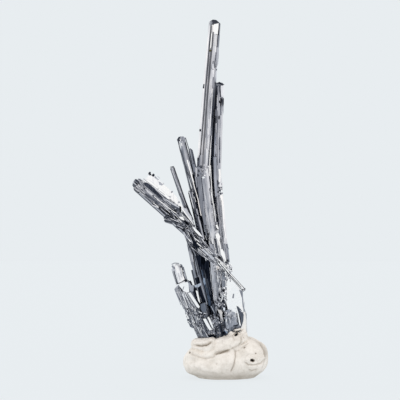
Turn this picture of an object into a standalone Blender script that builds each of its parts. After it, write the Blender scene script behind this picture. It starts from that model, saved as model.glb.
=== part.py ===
"""Stibnite crystal spray that stands in a lump of mounting putty.

Meshes are in metres with +Z up.  Sizes below are millimetres, scaled by MM where meshes are made.
The origin lies on the resting plane under the middle of the spray, +X is to the viewer's right and
-Y faces the viewer.
"""

import math
import random

import bmesh
import bpy
from mathutils import Matrix, Vector

MM = 0.001
HEIGHT = 150.0          # resting plane to the highest tip
GAP = 0.3               # room left between pieces that touch
SINK = 6.0              # how deep the root goes into the putty
SEED = 11
GOLDEN_ANGLE = 137.5    # degrees between one stub of the root and the next
BLOCK = 4               # side of the block that a prism of face distance about 1 is cut from
FLOOR_SIDE = 80.0       # block that cuts the putty flat on the resting plane
FLOOR_DEEP = 20.0
FLOOR_RIGHT = 10.0      # how far right of the origin that block's middle is

# Cross-sections: (azimuth of a face in degrees, distance from the middle, relative).
# Azimuth 0 is +X, 270 faces the viewer.
PRISM = ((14, 1.0), (60, 0.92), (97, 1.0), (148, 0.95), (198, 1.0), (238, 0.9), (277, 1.0), (322, 0.9))
HEXAGON = ((8, 1.0), (66, 0.95), (122, 1.0), (184, 1.0), (243, 0.92), (296, 1.0))
LATH = ((0, 1.0), (52, 0.75), (92, 0.6), (180, 1.0), (232, 0.74), (272, 0.6))
SPLINTER = ((20, 1.0), (95, 0.9), (165, 1.0), (238, 0.95), (305, 1.0))
SQUARE = ((5, 1.0), (93, 1.0), (184, 1.0), (273, 1.0))

# Terminations: (azimuth the face leans to, slope from level, drop below the tip in mm).
POINTED = ((270, 40, 0.0), (95, 38, 0.0), (10, 34, 0.2), (185, 42, 0.3))
BLUNT = ((262, 24, 0.0), (100, 28, 0.1), (350, 20, 0.1))
SLANTED_LEFT = ((190, 38, 0.6), (285, 25, 0.2), (100, 20, 0.0))
SLANTED_RIGHT = ((355, 30, 0.5), (170, 14, 0.0), (265, 16, 0.1))
BROKEN = ((205, 26, 0.0), (40, 34, 0.2))
TALL_ROOF = ((268, 42, 0.0), (96, 40, 0.0), (8, 30, 0.5), (190, 34, 0.5))
STUB_ROOF = ((186, 36, 0.5), (100, 30, 0.0), (345, 30, 0.7), (275, 26, 0.1))
BROAD_ROOF = ((0, 42, 3.2), (355, 70, 0.0), (275, 30, 2.4))

UPPER_LEAN = 0.0855     # how far the tall crystal's upper part goes right per mm of height
NUB_OUT = 2.1           # from that crystal's middle to the specks on its edges

GREY = (0.42, 0.43, 0.47)
BRIGHT = (0.72, 0.73, 0.76)
DARK = (0.16, 0.18, 0.23)
CREAM = (0.80, 0.75, 0.68)


def new_collection(name):
    collection = bpy.data.collections.new(name)
    bpy.context.scene.collection.children.link(collection)
    return collection


def slice_off(mesh, point, normal):
    """Removes what lies beyond a plane and closes the cut."""
    geometry = mesh.verts[:] + mesh.edges[:] + mesh.faces[:]
    result = bmesh.ops.bisect_plane(
        mesh, geom=geometry, dist=1e-5, plane_co=point, plane_no=normal, clear_outer=True
    )
    rim = [item for item in result["geom_cut"] if isinstance(item, bmesh.types.BMEdge)]
    if len(rim) > 2:
        bmesh.ops.contextual_create(mesh, geom=rim)


def direction(azimuth, slope):
    """Unit vector that leans from +Z towards an azimuth by a slope, both in degrees."""
    around = math.radians(azimuth)
    lean = math.radians(slope)
    return Vector((math.sin(lean) * math.cos(around), math.sin(lean) * math.sin(around), math.cos(lean)))


def rod(foot, tip, width, depth, profile=PRISM, caps=POINTED, taper=1.0, turn=0.0):
    """What one prism is: where it runs, how thick it is and how it ends, in millimetres."""
    return {
        "foot": Vector(foot), "tip": Vector(tip), "width": width, "depth": depth,
        "profile": profile, "caps": caps, "taper": taper, "turn": turn,
    }


def placing(foot, tip):
    """Matrix from a prism's own frame, with +Z along it, to the spray's frame."""
    along = (tip - foot).normalized()
    across = Vector((1, 0, 0)) - along * along.x
    across.normalize()
    deep = along.cross(across)
    turn = Matrix((across, deep, along)).transposed().to_4x4()
    return Matrix.Translation(foot) @ turn


def rod_mesh(name, spec, grow=0.0):
    """Cuts a prism out of a block, face by face, and places it.  grow moves every face outwards."""
    length = (spec["tip"] - spec["foot"]).length
    mesh = bmesh.new()
    bmesh.ops.create_cube(mesh, size=1.0)
    bmesh.ops.scale(mesh, vec=(BLOCK, BLOCK, length), verts=mesh.verts)
    bmesh.ops.translate(mesh, vec=(0, 0, length / 2), verts=mesh.verts)
    for azimuth, distance in spec["profile"]:
        normal = direction(azimuth + spec["turn"], 90)
        slice_off(mesh, normal * distance, normal)
    wide = max(v.co.x for v in mesh.verts) - min(v.co.x for v in mesh.verts)
    deep = max(v.co.y for v in mesh.verts) - min(v.co.y for v in mesh.verts)
    middle_x = sum(f(v.co.x for v in mesh.verts) for f in (max, min)) / 2
    middle_y = sum(f(v.co.y for v in mesh.verts) for f in (max, min)) / 2
    for vertex in mesh.verts:
        top = vertex.co.z > length / 2
        share = spec["taper"] if top else 1.0
        vertex.co.x = (vertex.co.x - middle_x) / wide * (spec["width"] * share + 2 * grow)
        vertex.co.y = (vertex.co.y - middle_y) / deep * (spec["depth"] * share + 2 * grow)
        vertex.co.z += grow if top else -grow
    for azimuth, slope, drop in spec["caps"]:
        slice_off(mesh, Vector((0, 0, length - drop + grow)), direction(azimuth, slope))
    bmesh.ops.remove_doubles(mesh, verts=mesh.verts, dist=1e-4)
    place = Matrix.Scale(MM, 4) @ placing(spec["foot"], spec["tip"])
    bmesh.ops.transform(mesh, matrix=place, verts=mesh.verts)
    bmesh.ops.recalc_face_normals(mesh, faces=mesh.faces)
    data = bpy.data.meshes.new(name)
    mesh.to_mesh(data)
    mesh.free()
    return data


def finish_of(name, colour, metallic, roughness):
    material = bpy.data.materials.new(name)
    material.use_nodes = True
    shader = material.node_tree.nodes["Principled BSDF"]
    shader.inputs["Base Color"].default_value = (*colour, 1.0)
    shader.inputs["Metallic"].default_value = metallic
    shader.inputs["Roughness"].default_value = roughness
    return material


def helper(name, data, collection):
    """An object that only shapes others."""
    thing = bpy.data.objects.new(name, data)
    thing.hide_render = True
    thing.display_type = "WIRE"
    collection.objects.link(thing)
    return thing


def boolean(target, operation, collection):
    modifier = target.modifiers.new(operation.lower(), "BOOLEAN")
    modifier.operation = operation
    modifier.operand_type = "COLLECTION"
    modifier.collection = collection
    modifier.solver = "EXACT"


def group_of(name):
    """An empty collection for helpers, kept out of the render."""
    collection = bpy.data.collections.new(name)
    HELPERS.children.link(collection)
    return collection


def island_of(vertex):
    """The vertices that a vertex is joined to."""
    found = {vertex}
    waiting = [vertex]
    while waiting:
        here = waiting.pop()
        for edge in here.link_edges:
            other = edge.other_vert(here)
            if other not in found:
                found.add(other)
                waiting.append(other)
    return found


def settle(thing):
    """Applies the Booleans and drops the specks and sealed pores that they leave beside the main body."""
    graph = bpy.context.evaluated_depsgraph_get()
    data = bpy.data.meshes.new_from_object(thing.evaluated_get(graph))
    mesh = bmesh.new()
    mesh.from_mesh(data)
    islands = []
    waiting = set(mesh.verts)
    while waiting:
        island = island_of(next(iter(waiting)))
        waiting -= island
        islands.append(island)
    islands.sort(key=len, reverse=True)
    specks = [vertex for island in islands[1:] for vertex in island]
    bmesh.ops.delete(mesh, geom=specks, context="VERTS")
    mesh.to_mesh(data)
    mesh.free()
    thing.modifiers.clear()
    thing.data = data


def piece(name, rods, colour, roughness=0.25, clear_of=()):
    """One named crystal: its rods grown together, cut back round the neighbours it touches."""
    thing = bpy.data.objects.new(name, rod_mesh(name, rods[0]))
    SPRAY.objects.link(thing)
    thing.data.materials.append(finish_of(name, colour, 1.0, roughness))
    room = group_of(name + "_room")
    for index, spec in enumerate(rods):
        helper(f"{name}_room_{index}", rod_mesh(name + "_room", spec, grow=GAP), room)
    if len(rods) > 1:
        growths = group_of(name + "_growths")
        for index, spec in enumerate(rods[1:]):
            helper(f"{name}_growth_{index}", rod_mesh(name + "_growth", spec), growths)
        boolean(thing, "UNION", growths)
    for neighbour in clear_of:
        boolean(thing, "DIFFERENCE", bpy.data.collections[neighbour + "_room"])
    settle(thing)


def tall_crystal():
    lower = rod((9.2, 0.6, 14), (1.7, 0, 88.5), 5.5, 4.6, caps=BROKEN)
    upper = rod((0.62, 0.1, 84.4), (6.12, 0, HEIGHT), 4.7, 4.1, caps=TALL_ROOF)
    upper_right_rib = rod((5.1, 0.3, 128.6), (6.9, 0.2, 148.2), 3.0, 2.9, HEXAGON, BLUNT)
    lower_right_rib = rod((2.9, 0.4, 80), (3.8, 0.3, 112), 3.4, 3.0, HEXAGON, ((0, 55, 0.0),))
    column = rod((9.2, -0.6, 24), (5.6, -0.8, 55), 5.6, 4.6, PRISM, BROKEN)
    torn_edge = rod((12.2, -0.6, 43.5), (7.0, -0.6, 64.6), 1.5, 2.2, SPLINTER, POINTED)
    rods = [lower, upper, upper_right_rib, lower_right_rib, column, torn_edge]
    # nubs on the edges
    for height, side in ((132.5, 1), (121.7, -1), (103.6, -1), (91.7, -1)):
        x = 6.12 - (HEIGHT - height) * UPPER_LEAN + side * NUB_OUT
        foot = (x, -0.5, height - 0.8)
        rods.append(rod(foot, (x + 0.1, -0.5, height + 0.9), 0.8, 0.9, SPLINTER, BROKEN))
    # ragged collar where the upper length breaks away
    for index in range(7):
        x = -0.6 + index * 0.85
        height = 86.2 + (index * 37 % 5) * 0.8
        tip = (x, -1.75 + 0.2 * (index % 3), height)
        rods.append(rod((x + 0.5, -1.3, height - 6), tip, 1.2, 1.3, SPLINTER, BROKEN, turn=index * 23))
    piece("tall_crystal", rods, GREY)


def right_crystal():
    upper = rod((7.75, 1.5, 79.4), (8.3, 1.3, 124.0), 3.4, 3.2, HEXAGON, SLANTED_RIGHT)
    lower = rod((14.8, 2.6, 24), (7.5, 1.6, 83.2), 3.6, 3.2, PRISM, BROKEN)
    cap = rod((8.3, 1.2, 122.2), (9.0, 1.2, 123.4), 2.8, 3.6, LATH, ((0, 30, 0.0),))
    rib = rod((12.6, 1.4, 46), (9.5, 1.2, 72.6), 1.2, 1.6, SPLINTER, POINTED)
    rods = [upper, lower, cap, rib]
    # knobby break
    for index in range(4):
        foot = (8.6, 0.8, 76.2 + index * 1.3)
        tip = (9.3 + 0.2 * (index % 2), -0.4, 78 + index * 1.4)
        rods.append(rod(foot, tip, 1.6, 1.5, SPLINTER, BROKEN, turn=index * 31))
    piece("right_crystal", rods, GREY, clear_of=("tall_crystal",))


def left_blade():
    main = rod((7.4, 5.2, 38), (-8.3, -1.2, 101.2), 3.3, 2.5, LATH, ((185, 40, 1.0), (350, 4, 0.0)))
    spike = rod((2.2, 3.0, 66), (-4.2, 0.4, 96.2), 2.0, 1.8, SPLINTER, POINTED)
    side = rod((1.8, 3.6, 62), (-8.2, -0.6, 95.0), 2.3, 1.9, HEXAGON, BROKEN)
    piece("left_blade", [main, spike, side], GREY, clear_of=("tall_crystal",))


def left_column():
    main = rod((4.2, -1.6, 24), (-4.2, -1.2, 61.5), 2.7, 3.2, PRISM, BROKEN)
    left = rod((1.4, -1.9, 32), (-4.9, -1.4, 58.0), 1.8, 2.4, HEXAGON, BLUNT)
    step = rod((1.6, -2.4, 26), (-2.8, -2.2, 45.6), 2.0, 2.2, HEXAGON, BLUNT)
    crown = rod((-2.0, -1.4, 54), (-3.6, -1.5, 62.8), 4.4, 3.0, PRISM, BROKEN)
    piece("left_column", [main, left, step, crown], DARK, clear_of=("tall_crystal", "left_blade"))


def left_needle():
    main = rod((-1.9, -1.8, 61), (-11.6, -1.6, 88.6), 2.3, 1.8, HEXAGON, BLUNT, taper=0.7)
    piece("left_needle", [main], GREY, clear_of=("left_column", "left_blade"))


def short_crystal():
    main = rod((1.0, -2.4, 60.5), (-3.8, -2.2, 78.4), 2.5, 2.0, HEXAGON, BROKEN)
    chip = rod((0.2, -2.6, 66), (-2.7, -2.5, 77.0), 1.2, 1.2, SPLINTER, POINTED)
    neighbours = ("tall_crystal", "left_blade", "left_column", "left_needle")
    piece("short_crystal", [main, chip], DARK, clear_of=neighbours)


def back_blade():
    main = rod((5.4, 4.4, 22), (-1.2, 3.4, 49.0), 4.6, 2.2, LATH, SLANTED_RIGHT)
    thin = rod((3.8, 2.6, 28), (0.2, 2.2, 41.0), 0.9, 1.2, SPLINTER, POINTED)
    piece("back_blade", [main, thin], DARK, clear_of=("tall_crystal", "left_blade", "left_column"))


def lower_left_crystal():
    stub = rod((-7.0, -3.6, 37), (-10.3, -3.4, 48.3), 4.9, 4.0, PRISM, STUB_ROOF)
    wide = rod((3.6, -3.2, 12), (-7.5, -3.4, 40.2), 7.4, 5.4, PRISM, ((200, 10, 0.3), (20, 14, 0.0)))
    sliver = rod((3.6, -4.2, 16), (-3.6, -4.4, 39.6), 2.0, 2.4, HEXAGON, SLANTED_RIGHT)
    thin = rod((4.0, -3.4, 18), (-1.6, -3.6, 36.4), 1.6, 2.0, SPLINTER, POINTED)
    chunk = rod((4.2, -3.6, 19), (1.2, -3.8, 31.4), 2.4, 2.2, SQUARE, BROKEN)
    front = rod((5.2, -4.6, 14), (2.0, -5.2, 25.4), 3.4, 2.2, HEXAGON, SLANTED_LEFT)
    rods = [stub, wide, sliver, thin, chunk, front]
    # ledges low on the left
    for index in range(5):
        drop = index * 2.3
        tip = (-7.4 + drop * 0.75, -3.9 - 0.2 * index, 29.2 - drop)
        rods.append(rod((0.6 + index, -3.6, 14), tip, 1.9, 1.8, SPLINTER, BROKEN, turn=index * 29))
    piece("lower_left_crystal", rods, BRIGHT, clear_of=("left_column", "tall_crystal", "back_blade"))


def broad_crystal():
    main = rod((15.2, -2.6, 12), (14.5, -2.8, 42.2), 8.6, 6.0, PRISM, BROAD_ROOF, taper=0.86)
    face = rod((13.6, -4.6, 13), (13.0, -5.0, 29.5), 3.6, 2.4, HEXAGON, SLANTED_RIGHT)
    edge = rod((18.4, -3.2, 12), (17.1, -3.2, 31.4), 2.4, 3.2, HEXAGON, ((0, 55, 0.0),))
    piece("broad_crystal", [main, face, edge], BRIGHT, clear_of=("tall_crystal", "right_crystal"))


def sheaf(rng, count, start, end, spread, layers, width, ragged):
    """Needles side by side from start to end, their ends ragged, fanned out by spread (mm at each end)."""
    along = (Vector(end) - Vector(start)).normalized()
    across = Vector((along.z, 0, -along.x))
    needles = []
    for index in range(count):
        place = index / (count - 1) - 0.5
        layer = index % layers - (layers - 1) / 2
        begin = Vector(start) + across * spread[0] * place + along * rng.uniform(-ragged, ragged)
        finish = Vector(end) + across * spread[1] * place + along * rng.uniform(-ragged, ragged)
        begin.y += layer * 1.05
        finish.y += layer * 0.9
        thick = width * rng.uniform(0.85, 1.25)
        needles.append(rod(finish, begin, thick, thick * 0.9, SPLINTER, BROKEN, turn=rng.uniform(0, 70)))
    return needles


def feathered_bundle():
    rng = random.Random(SEED)
    rods = sheaf(rng, 13, (-26.81, -6.0, 81.8), (-3.2, -5.6, 61.2), (6.4, 3.6), 3, 1.25, 0.9)
    rods += sheaf(rng, 9, (-10.6, -6.0, 66.6), (5.0, -5.5, 53.0), (6.6, 4.6), 2, 1.15, 1.8)
    rods += sheaf(rng, 5, (-4.0, -5.4, 62.4), (9.6, -5.2, 47.6), (3.0, 1.8), 2, 1.0, 1.0)
    side_tuft = sheaf(rng, 6, (-15.1, -6.2, 66.5), (-4.4, -5.7, 61.2), (1.9, 3.0), 2, 1.05, 0.7)
    lower_fringe = sheaf(rng, 5, (-8.4, -5.2, 63.0), (-1.4, -4.8, 53.6), (4.4, 4.6), 1, 1.5, 1.0)
    bright_plate = rod((-4.9, -5.9, 66.6), (-22.2, -5.8, 84.3), 5.4, 2.2, LATH, BROKEN, turn=8)
    rods += side_tuft + lower_fringe + [bright_plate]
    neighbours = ("tall_crystal", "right_crystal", "left_blade", "left_column", "left_needle",
                  "short_crystal")
    piece("feathered_bundle", rods, BRIGHT, clear_of=neighbours)


def right_needle():
    main = rod((6.6, -5.4, 49.8), (18.5, -6.8, 37.0), 1.3, 1.2, HEXAGON, BLUNT)
    neighbours = ("feathered_bundle", "broad_crystal", "tall_crystal", "right_crystal")
    piece("right_needle", [main], BRIGHT, clear_of=neighbours)


def root_cluster():
    rng = random.Random(SEED + 1)
    rods = [rod((10.5, 0, SINK), (8.0, 0, 24.5), 20.0, 12.5, PRISM, BROKEN)]
    # stubs all round
    for index in range(20):
        around = math.radians(index * GOLDEN_ANGLE)
        out = 0.35 + 0.15 * (index % 4)
        foot = Vector((9.8 + 8.6 * out * math.cos(around), 5.4 * out * math.sin(around), SINK + 4))
        lean = Vector((foot.x * 0.5 - 6.0 + rng.uniform(-2, 2), foot.y * 0.35, rng.uniform(12, 20)))
        size = rng.uniform(2.2, 4.2)
        rods.append(rod(foot, foot + lean, size, size * 0.85, SPLINTER, BROKEN, turn=rng.uniform(0, 70)))
    # rubble in front
    for index in range(9):
        foot = Vector((4.4 + index * 0.85, -3.4 - 0.3 * (index % 3), 12))
        sideways = rng.uniform(-2.4, 0.6)
        forwards = rng.uniform(-1.0, 0.3)
        rise = 11 + index * 1.35 + rng.uniform(-2, 2)
        tip = foot + Vector((sideways, forwards, rise))
        size = rng.uniform(1.8, 2.8)
        rods.append(rod(foot, tip, size, size, SPLINTER, BROKEN, turn=rng.uniform(0, 70)))
    neighbours = ("tall_crystal", "right_crystal", "left_blade", "left_column", "back_blade",
                  "lower_left_crystal", "broad_crystal")
    piece("root_cluster", rods, DARK, clear_of=neighbours)


def ball(name, middle, radii, turn, collection=None):
    """A flattened ball of putty; with a collection it is a helper, without one it is the part."""
    mesh = bmesh.new()
    bmesh.ops.create_uvsphere(mesh, u_segments=20, v_segments=12, radius=1.0)
    place = Matrix.Translation(Vector(middle)) @ Matrix.Rotation(math.radians(turn), 4, "Y")
    scale = Matrix.Diagonal((*radii, 1.0))
    bmesh.ops.transform(mesh, matrix=Matrix.Scale(MM, 4) @ place @ scale, verts=mesh.verts)
    data = bpy.data.meshes.new(name)
    mesh.to_mesh(data)
    mesh.free()
    if collection:
        return helper(name, data, collection)
    thing = bpy.data.objects.new(name, data)
    SPRAY.objects.link(thing)
    return thing


def putty_lump():
    lump = ball("putty_lump", (10.7, 0, 6.6), (17.6, 14.4, 9.4), 0)
    lump.data.materials.append(finish_of("putty_lump", CREAM, 0.0, 0.8))
    folds = group_of("putty_lump_growths")
    ball("putty_right_lobe", (19.8, -1.4, 8.2), (8.9, 11.6, 8.6), 0, folds)
    ball("putty_left_roll", (1.8, -2.0, 13.0), (6.4, 9.6, 4.6), -8, folds)
    ball("putty_diagonal_roll", (8.4, -6.6, 11.6), (9.6, 5.8, 4.4), -24, folds)
    ball("putty_base_roll", (6.4, -4.6, 5.4), (13.0, 9.6, 5.6), 4, folds)
    boolean(lump, "UNION", folds)
    floor = group_of("putty_floor")
    mesh = bmesh.new()
    bmesh.ops.create_cube(mesh, size=1.0)
    bmesh.ops.scale(mesh, vec=(FLOOR_SIDE * MM, FLOOR_SIDE * MM, FLOOR_DEEP * MM), verts=mesh.verts)
    bmesh.ops.translate(mesh, vec=(FLOOR_RIGHT * MM, 0, -FLOOR_DEEP * MM / 2), verts=mesh.verts)
    data = bpy.data.meshes.new("floor_cutter")
    mesh.to_mesh(data)
    mesh.free()
    helper("floor_cutter", data, floor)
    boolean(lump, "DIFFERENCE", floor)
    planted = ("root_cluster", "lower_left_crystal", "broad_crystal", "tall_crystal", "right_crystal")
    for neighbour in planted:
        boolean(lump, "DIFFERENCE", bpy.data.collections[neighbour + "_room"])
    settle(lump)


for leftover in list(bpy.data.objects):
    bpy.data.objects.remove(leftover)
SPRAY = new_collection("stibnite_crystal_spray")
HELPERS = new_collection("helpers")
tall_crystal()
right_crystal()
left_blade()
left_column()
left_needle()
short_crystal()
back_blade()
lower_left_crystal()
broad_crystal()
feathered_bundle()
right_needle()
root_cluster()
putty_lump()
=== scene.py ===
import math
import random

import bpy
import numpy as np
from mathutils import Matrix, Vector, noise


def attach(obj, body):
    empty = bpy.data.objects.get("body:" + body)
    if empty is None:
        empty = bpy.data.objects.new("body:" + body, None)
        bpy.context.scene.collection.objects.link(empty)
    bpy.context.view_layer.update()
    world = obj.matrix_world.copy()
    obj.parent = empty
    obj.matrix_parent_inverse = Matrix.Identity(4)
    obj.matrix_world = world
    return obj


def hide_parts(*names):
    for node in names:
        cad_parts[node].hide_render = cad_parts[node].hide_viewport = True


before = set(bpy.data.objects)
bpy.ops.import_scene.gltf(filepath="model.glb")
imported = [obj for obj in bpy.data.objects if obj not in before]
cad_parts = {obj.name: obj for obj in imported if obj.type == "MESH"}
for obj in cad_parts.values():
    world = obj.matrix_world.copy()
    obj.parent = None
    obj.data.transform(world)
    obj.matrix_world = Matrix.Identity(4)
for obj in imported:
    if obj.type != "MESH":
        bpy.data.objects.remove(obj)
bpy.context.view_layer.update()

mm = 0.001               # crystals are modelled in millimetres and scaled as they are put in place
view = {
    "distance": 900.0,       # mm from the camera to the middle of the spray
    "elevation": 3.0,        # degrees that the camera looks down
    "middle": 74.46,         # mm above the table that it looks at
    "wide": 167.6,           # mm across the picture there
    "sensor": 36.0,          # mm, its width
    "nearest": 0.01,         # metres, where its view begins
}


def only(thing):
    # selects one object and nothing else
    bpy.ops.object.select_all(action="DESELECT")
    thing.select_set(True)
    bpy.context.view_layer.objects.active = thing


def newBar(name, sides, radius, length):
    bpy.ops.object.select_all(action="DESELECT")
    bpy.ops.mesh.primitive_cylinder_add(vertices=sides, radius=radius, depth=length)
    bar = bpy.context.object
    bar.name = name
    return bar


def closeUp():
    # turns every face outwards and leaves Edit Mode
    bpy.ops.mesh.select_all(action="SELECT")
    bpy.ops.mesh.normals_make_consistent(inside=False)
    bpy.ops.object.mode_set(mode="OBJECT")


def readAll(elements, field, width=1, kind=np.float32):
    # one field of every vertex, corner or face as an array, with a row for each when width is over 1
    values = np.empty(len(elements) * width, kind)
    elements.foreach_get(field, values)
    return values.reshape(-1, width) if width > 1 else values


def keepAll(mesh, name, domain, values, width=1, kind="FLOAT"):
    # stores an array as a named attribute of a mesh
    attribute = mesh.attributes.get(name) or mesh.attributes.new(name, kind, domain)
    values = np.ascontiguousarray(values, np.int32 if kind == "INT" else np.float32)
    attribute.data.foreach_set("vector" if width == 3 else "value", values.ravel())


def hexToLinear(text):
    # "#rrggbb" in sRGB to the linear colour that shaders want
    parts = [int(text[i:i + 2], 16) / 255 for i in (1, 3, 5)]
    return [p / 12.92 if p <= 0.04045 else ((p + 0.055) / 1.055) ** 2.4 for p in parts] + [1.0]


def addNode(tree, kind, settings=None, links=None):
    node = tree.nodes.new(kind)
    for key, value in (settings or {}).items():
        if isinstance(key, str) and hasattr(node, key):
            setattr(node, key, value)
        else:
            node.inputs[key].default_value = value
    for key, socket in (links or {}).items():
        tree.links.new(socket, node.inputs[key])
    return node


def newMaterial(name):
    material = bpy.data.materials.new(name)
    material.use_nodes = True
    return material, material.node_tree, material.node_tree.nodes["Principled BSDF"]


def leaning(azimuth, slope):
    # unit vector that leans from +Z towards an azimuth, both in degrees
    around = math.radians(azimuth)
    lean = math.radians(slope)
    return Vector((math.sin(lean) * math.cos(around), math.sin(lean) * math.sin(around), math.cos(lean)))


def placing(foot, tip, spin=0.0):
    # from a crystal's own frame, +Z along it and -Y to the viewer, to the spray's frame
    foot = Vector(foot)
    along = (Vector(tip) - foot).normalized()
    across = Vector((1, 0, 0)) - along * along.x
    if across.length < 0.2:
        across = Vector((0, 0, -1)) + along * along.z
    across.normalize()
    turn = Matrix((across, along.cross(across), along)).transposed().to_4x4()
    return Matrix.Translation(foot) @ turn @ Matrix.Rotation(spin, 4, "Z")


def towardsCamera():
    up = math.radians(view["elevation"])
    return 0, -math.cos(up), math.sin(up)


def inView(x, z, front):
    # the point at depth front that the camera sees where (x, z) lies in the plane through the spray's middle
    eye = Vector(towardsCamera()) * view["distance"] + Vector((0, 0, view["middle"]))
    aim = Vector((x, 0, z)) - eye
    return eye + aim * ((front - eye.y) / aim.y)


def joined(name, things):
    only(things[0])
    for thing in things[1:]:
        thing.select_set(True)
    bpy.ops.object.join()
    whole = bpy.context.view_layer.objects.active
    whole.name = name
    whole.data.name = name
    return whole


def finished(thing, material, slot, *nodes):
    thing.data.materials.clear()
    thing.data.materials.append(material)
    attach(thing, "root")
    if nodes:
        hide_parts(*nodes)


steel = {
    # painted brightness of a facet -> base colour: lead grey with a lavender cast; its light and dark are
    # the painted highlights, reflections and shade of a white studio
    "ramp": ((0.0, "#030508"), (0.12, "#181c26"), (0.27, "#3d414c"), (0.42, "#646871"), (0.56, "#888b94"),
             (0.70, "#aeb0b8"), (0.84, "#d6d7dc"), (0.94, "#f1f1f4"), (1.0, "#ffffff")),
    # patterns along a crystal: width and length in mm, detail, and how far they shift the brightness
    "streaks": (0.42, 14.0, 2.0, 0.07),      # growth lines that show from a step away
    "lines": (0.15, 6.0, 1.0, 0.05),         # the finer striation between them
    "tarnish": (3.5, 7.0, 3.0, 0.05),
    "relief": 0.12,
    "streakHeight": 0.06,    # mm
    "lineHeight": 0.02,
    "warm": "#fff2e2",       # cast of stained faces, where tint is below zero
    "cool": "#c2d8ee",       # cast of deep blue ones, where it is above
}


def stibnite(name, rough=(0.10, 0.20), warmth=0.12):
    # Stibnite, cleaved and grown: a metal-bright sulphide with a hard mirror glance, whose prism faces are
    # ruled lengthwise. Its thin bright and dark lines are painted into the base colour from each face's
    # tone: painted highlights, reflections and shade over the lead grey of the metal.
    material, tree, shader = newMaterial(name)
    shader.inputs["Metallic"].default_value = 1.0
    # each face's tone: its painted highlight, reflection and shade, as one brightness
    tone = addNode(tree, "ShaderNodeAttribute", {"attribute_name": "tone"})
    grain = addNode(tree, "ShaderNodeAttribute", {"attribute_name": "grain"})
    total = tone.outputs["Fac"]
    patterns = {}
    for kind in ("streaks", "lines", "tarnish"):
        width, length, detail, amount = steel[kind]
        scale = (1 / width, 1 / width, 1 / length)
        stretched = addNode(tree, "ShaderNodeMapping", {"Scale": scale}, {"Vector": grain.outputs["Vector"]})
        pattern = addNode(tree, "ShaderNodeTexNoise", {"Scale": 1.0, "Detail": detail, "Roughness": 0.6},
                          {"Vector": stretched.outputs["Vector"]})
        shift = addNode(tree, "ShaderNodeMapRange",
                        {"From Min": 0.3, "From Max": 0.7, "To Min": -amount, "To Max": amount},
                        {"Value": pattern.outputs["Fac"]})
        total = addNode(tree, "ShaderNodeMath", {"operation": "ADD"},
                        {0: total, 1: shift.outputs["Result"]}).outputs[0]
        patterns[kind] = pattern.outputs["Fac"]
    ramp = addNode(tree, "ShaderNodeValToRGB", {}, {"Fac": total})
    stops = ramp.color_ramp.elements
    while len(stops) < len(steel["ramp"]):
        stops.new(0.5)
    for stop, (place, colour) in zip(stops, steel["ramp"]):
        stop.position = place
        stop.color = hexToLinear(colour)
    tint = addNode(tree, "ShaderNodeAttribute", {"attribute_name": "tint"})
    stain = addNode(tree, "ShaderNodeMapRange", {"From Min": 0.5, "From Max": 0.66, "To Max": warmth},
                    {"Value": patterns["tarnish"]})
    warm = addNode(tree, "ShaderNodeMath", {"operation": "SUBTRACT"},
                   {0: stain.outputs["Result"], 1: tint.outputs["Fac"]})
    colour = ramp.outputs["Color"]
    for amount, hue in ((warm.outputs[0], steel["warm"]), (tint.outputs["Fac"], steel["cool"])):
        within = addNode(tree, "ShaderNodeClamp", {}, {"Value": amount})
        cast = addNode(tree, "ShaderNodeMix",
                       {"data_type": "RGBA", "blend_type": "MULTIPLY", 7: hexToLinear(hue)},
                       {0: within.outputs[0], 6: colour})
        colour = cast.outputs[2]
    tree.links.new(colour, shader.inputs["Base Color"])
    roughness = addNode(tree, "ShaderNodeMapRange",
                        {"From Min": 0.3, "From Max": 0.7, "To Min": rough[0], "To Max": rough[1]},
                        {"Value": patterns["tarnish"]})
    tree.links.new(roughness.outputs["Result"], shader.inputs["Roughness"])
    strength = steel["relief"]
    bump = addNode(tree, "ShaderNodeBump", {"Strength": strength, "Distance": steel["streakHeight"] * mm},
                   {"Height": patterns["streaks"]})
    fine = addNode(tree, "ShaderNodeBump", {"Strength": strength, "Distance": steel["lineHeight"] * mm},
                   {"Height": patterns["lines"], "Normal": bump.outputs["Normal"]})
    tree.links.new(fine.outputs["Normal"], shader.inputs["Normal"])
    return material


crystalHabit = {             # what a crystal's table may leave out
    "ridge": 0.5,                # where its cross-section is deepest, as a share of the width
    "strip": 0.32,               # mm, width of the strips that its faces are cut into
    "relief": 0.012,             # how far a strip stands proud or sunk, as a share of the depth
    "step": 1.6,                 # mm from ring to ring of points
    "ripple": 0.012,             # mm of gentle swelling, and from one swelling to the next
    "waves": (7.0, 17.0),
    "ledges": 6,                 # layers of growth that stop short, and how far they stand out in mm
    "rise": (-0.07, -0.05, 0.04),
    "bow": (0, 0),               # mm to the side and back, halfway up
    "vary": 0.03,                # brightness from strip to strip
}
grainShift = 60              # mm, so that no two crystals have the same growth lines


def ovalDepth(share, ridge):
    reach = ridge if share < ridge else 1 - ridge
    away = (share - ridge) / reach
    return math.sqrt(max(0.0, 1 - away * away))


def outlineOf(spec, rng):
    # Corners of the cross-section as (x, y, band), from the left edge across the front, then round the back.
    # A band is a stretch of faces with one brightness; it is cut into strips, each a little proud or sunk.
    front = spec["bands"]
    ends = [band[0] for band in front[1:]] + [1.0]
    back = tuple((1 - end, *band[1:]) for end, band in reversed(list(zip(ends, front))))
    points = []
    for side, bands in ((-1, front), (1, back)):
        starts = [band[0] for band in bands]
        for index, (start, end) in enumerate(zip(starts, starts[1:] + [1.0])):
            wide = (end - start) * spec["width"][0]
            strips = max(1, round(wide / spec["strip"]))
            deepStart, deepEnd = (ovalDepth(place if side < 0 else 1 - place, spec["ridge"])
                                  for place in (start, end))
            for step in range(strips):
                share = step / strips
                place = start + (end - start) * share
                deep = deepStart + (deepEnd - deepStart) * share
                if step:
                    deep += rng.uniform(-1, 1) * spec["relief"]
                x = place - 0.5 if side < 0 else 0.5 - place
                points.append((x, side * deep / 2, (0 if side < 0 else len(front)) + index))
    return points, front + back


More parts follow.
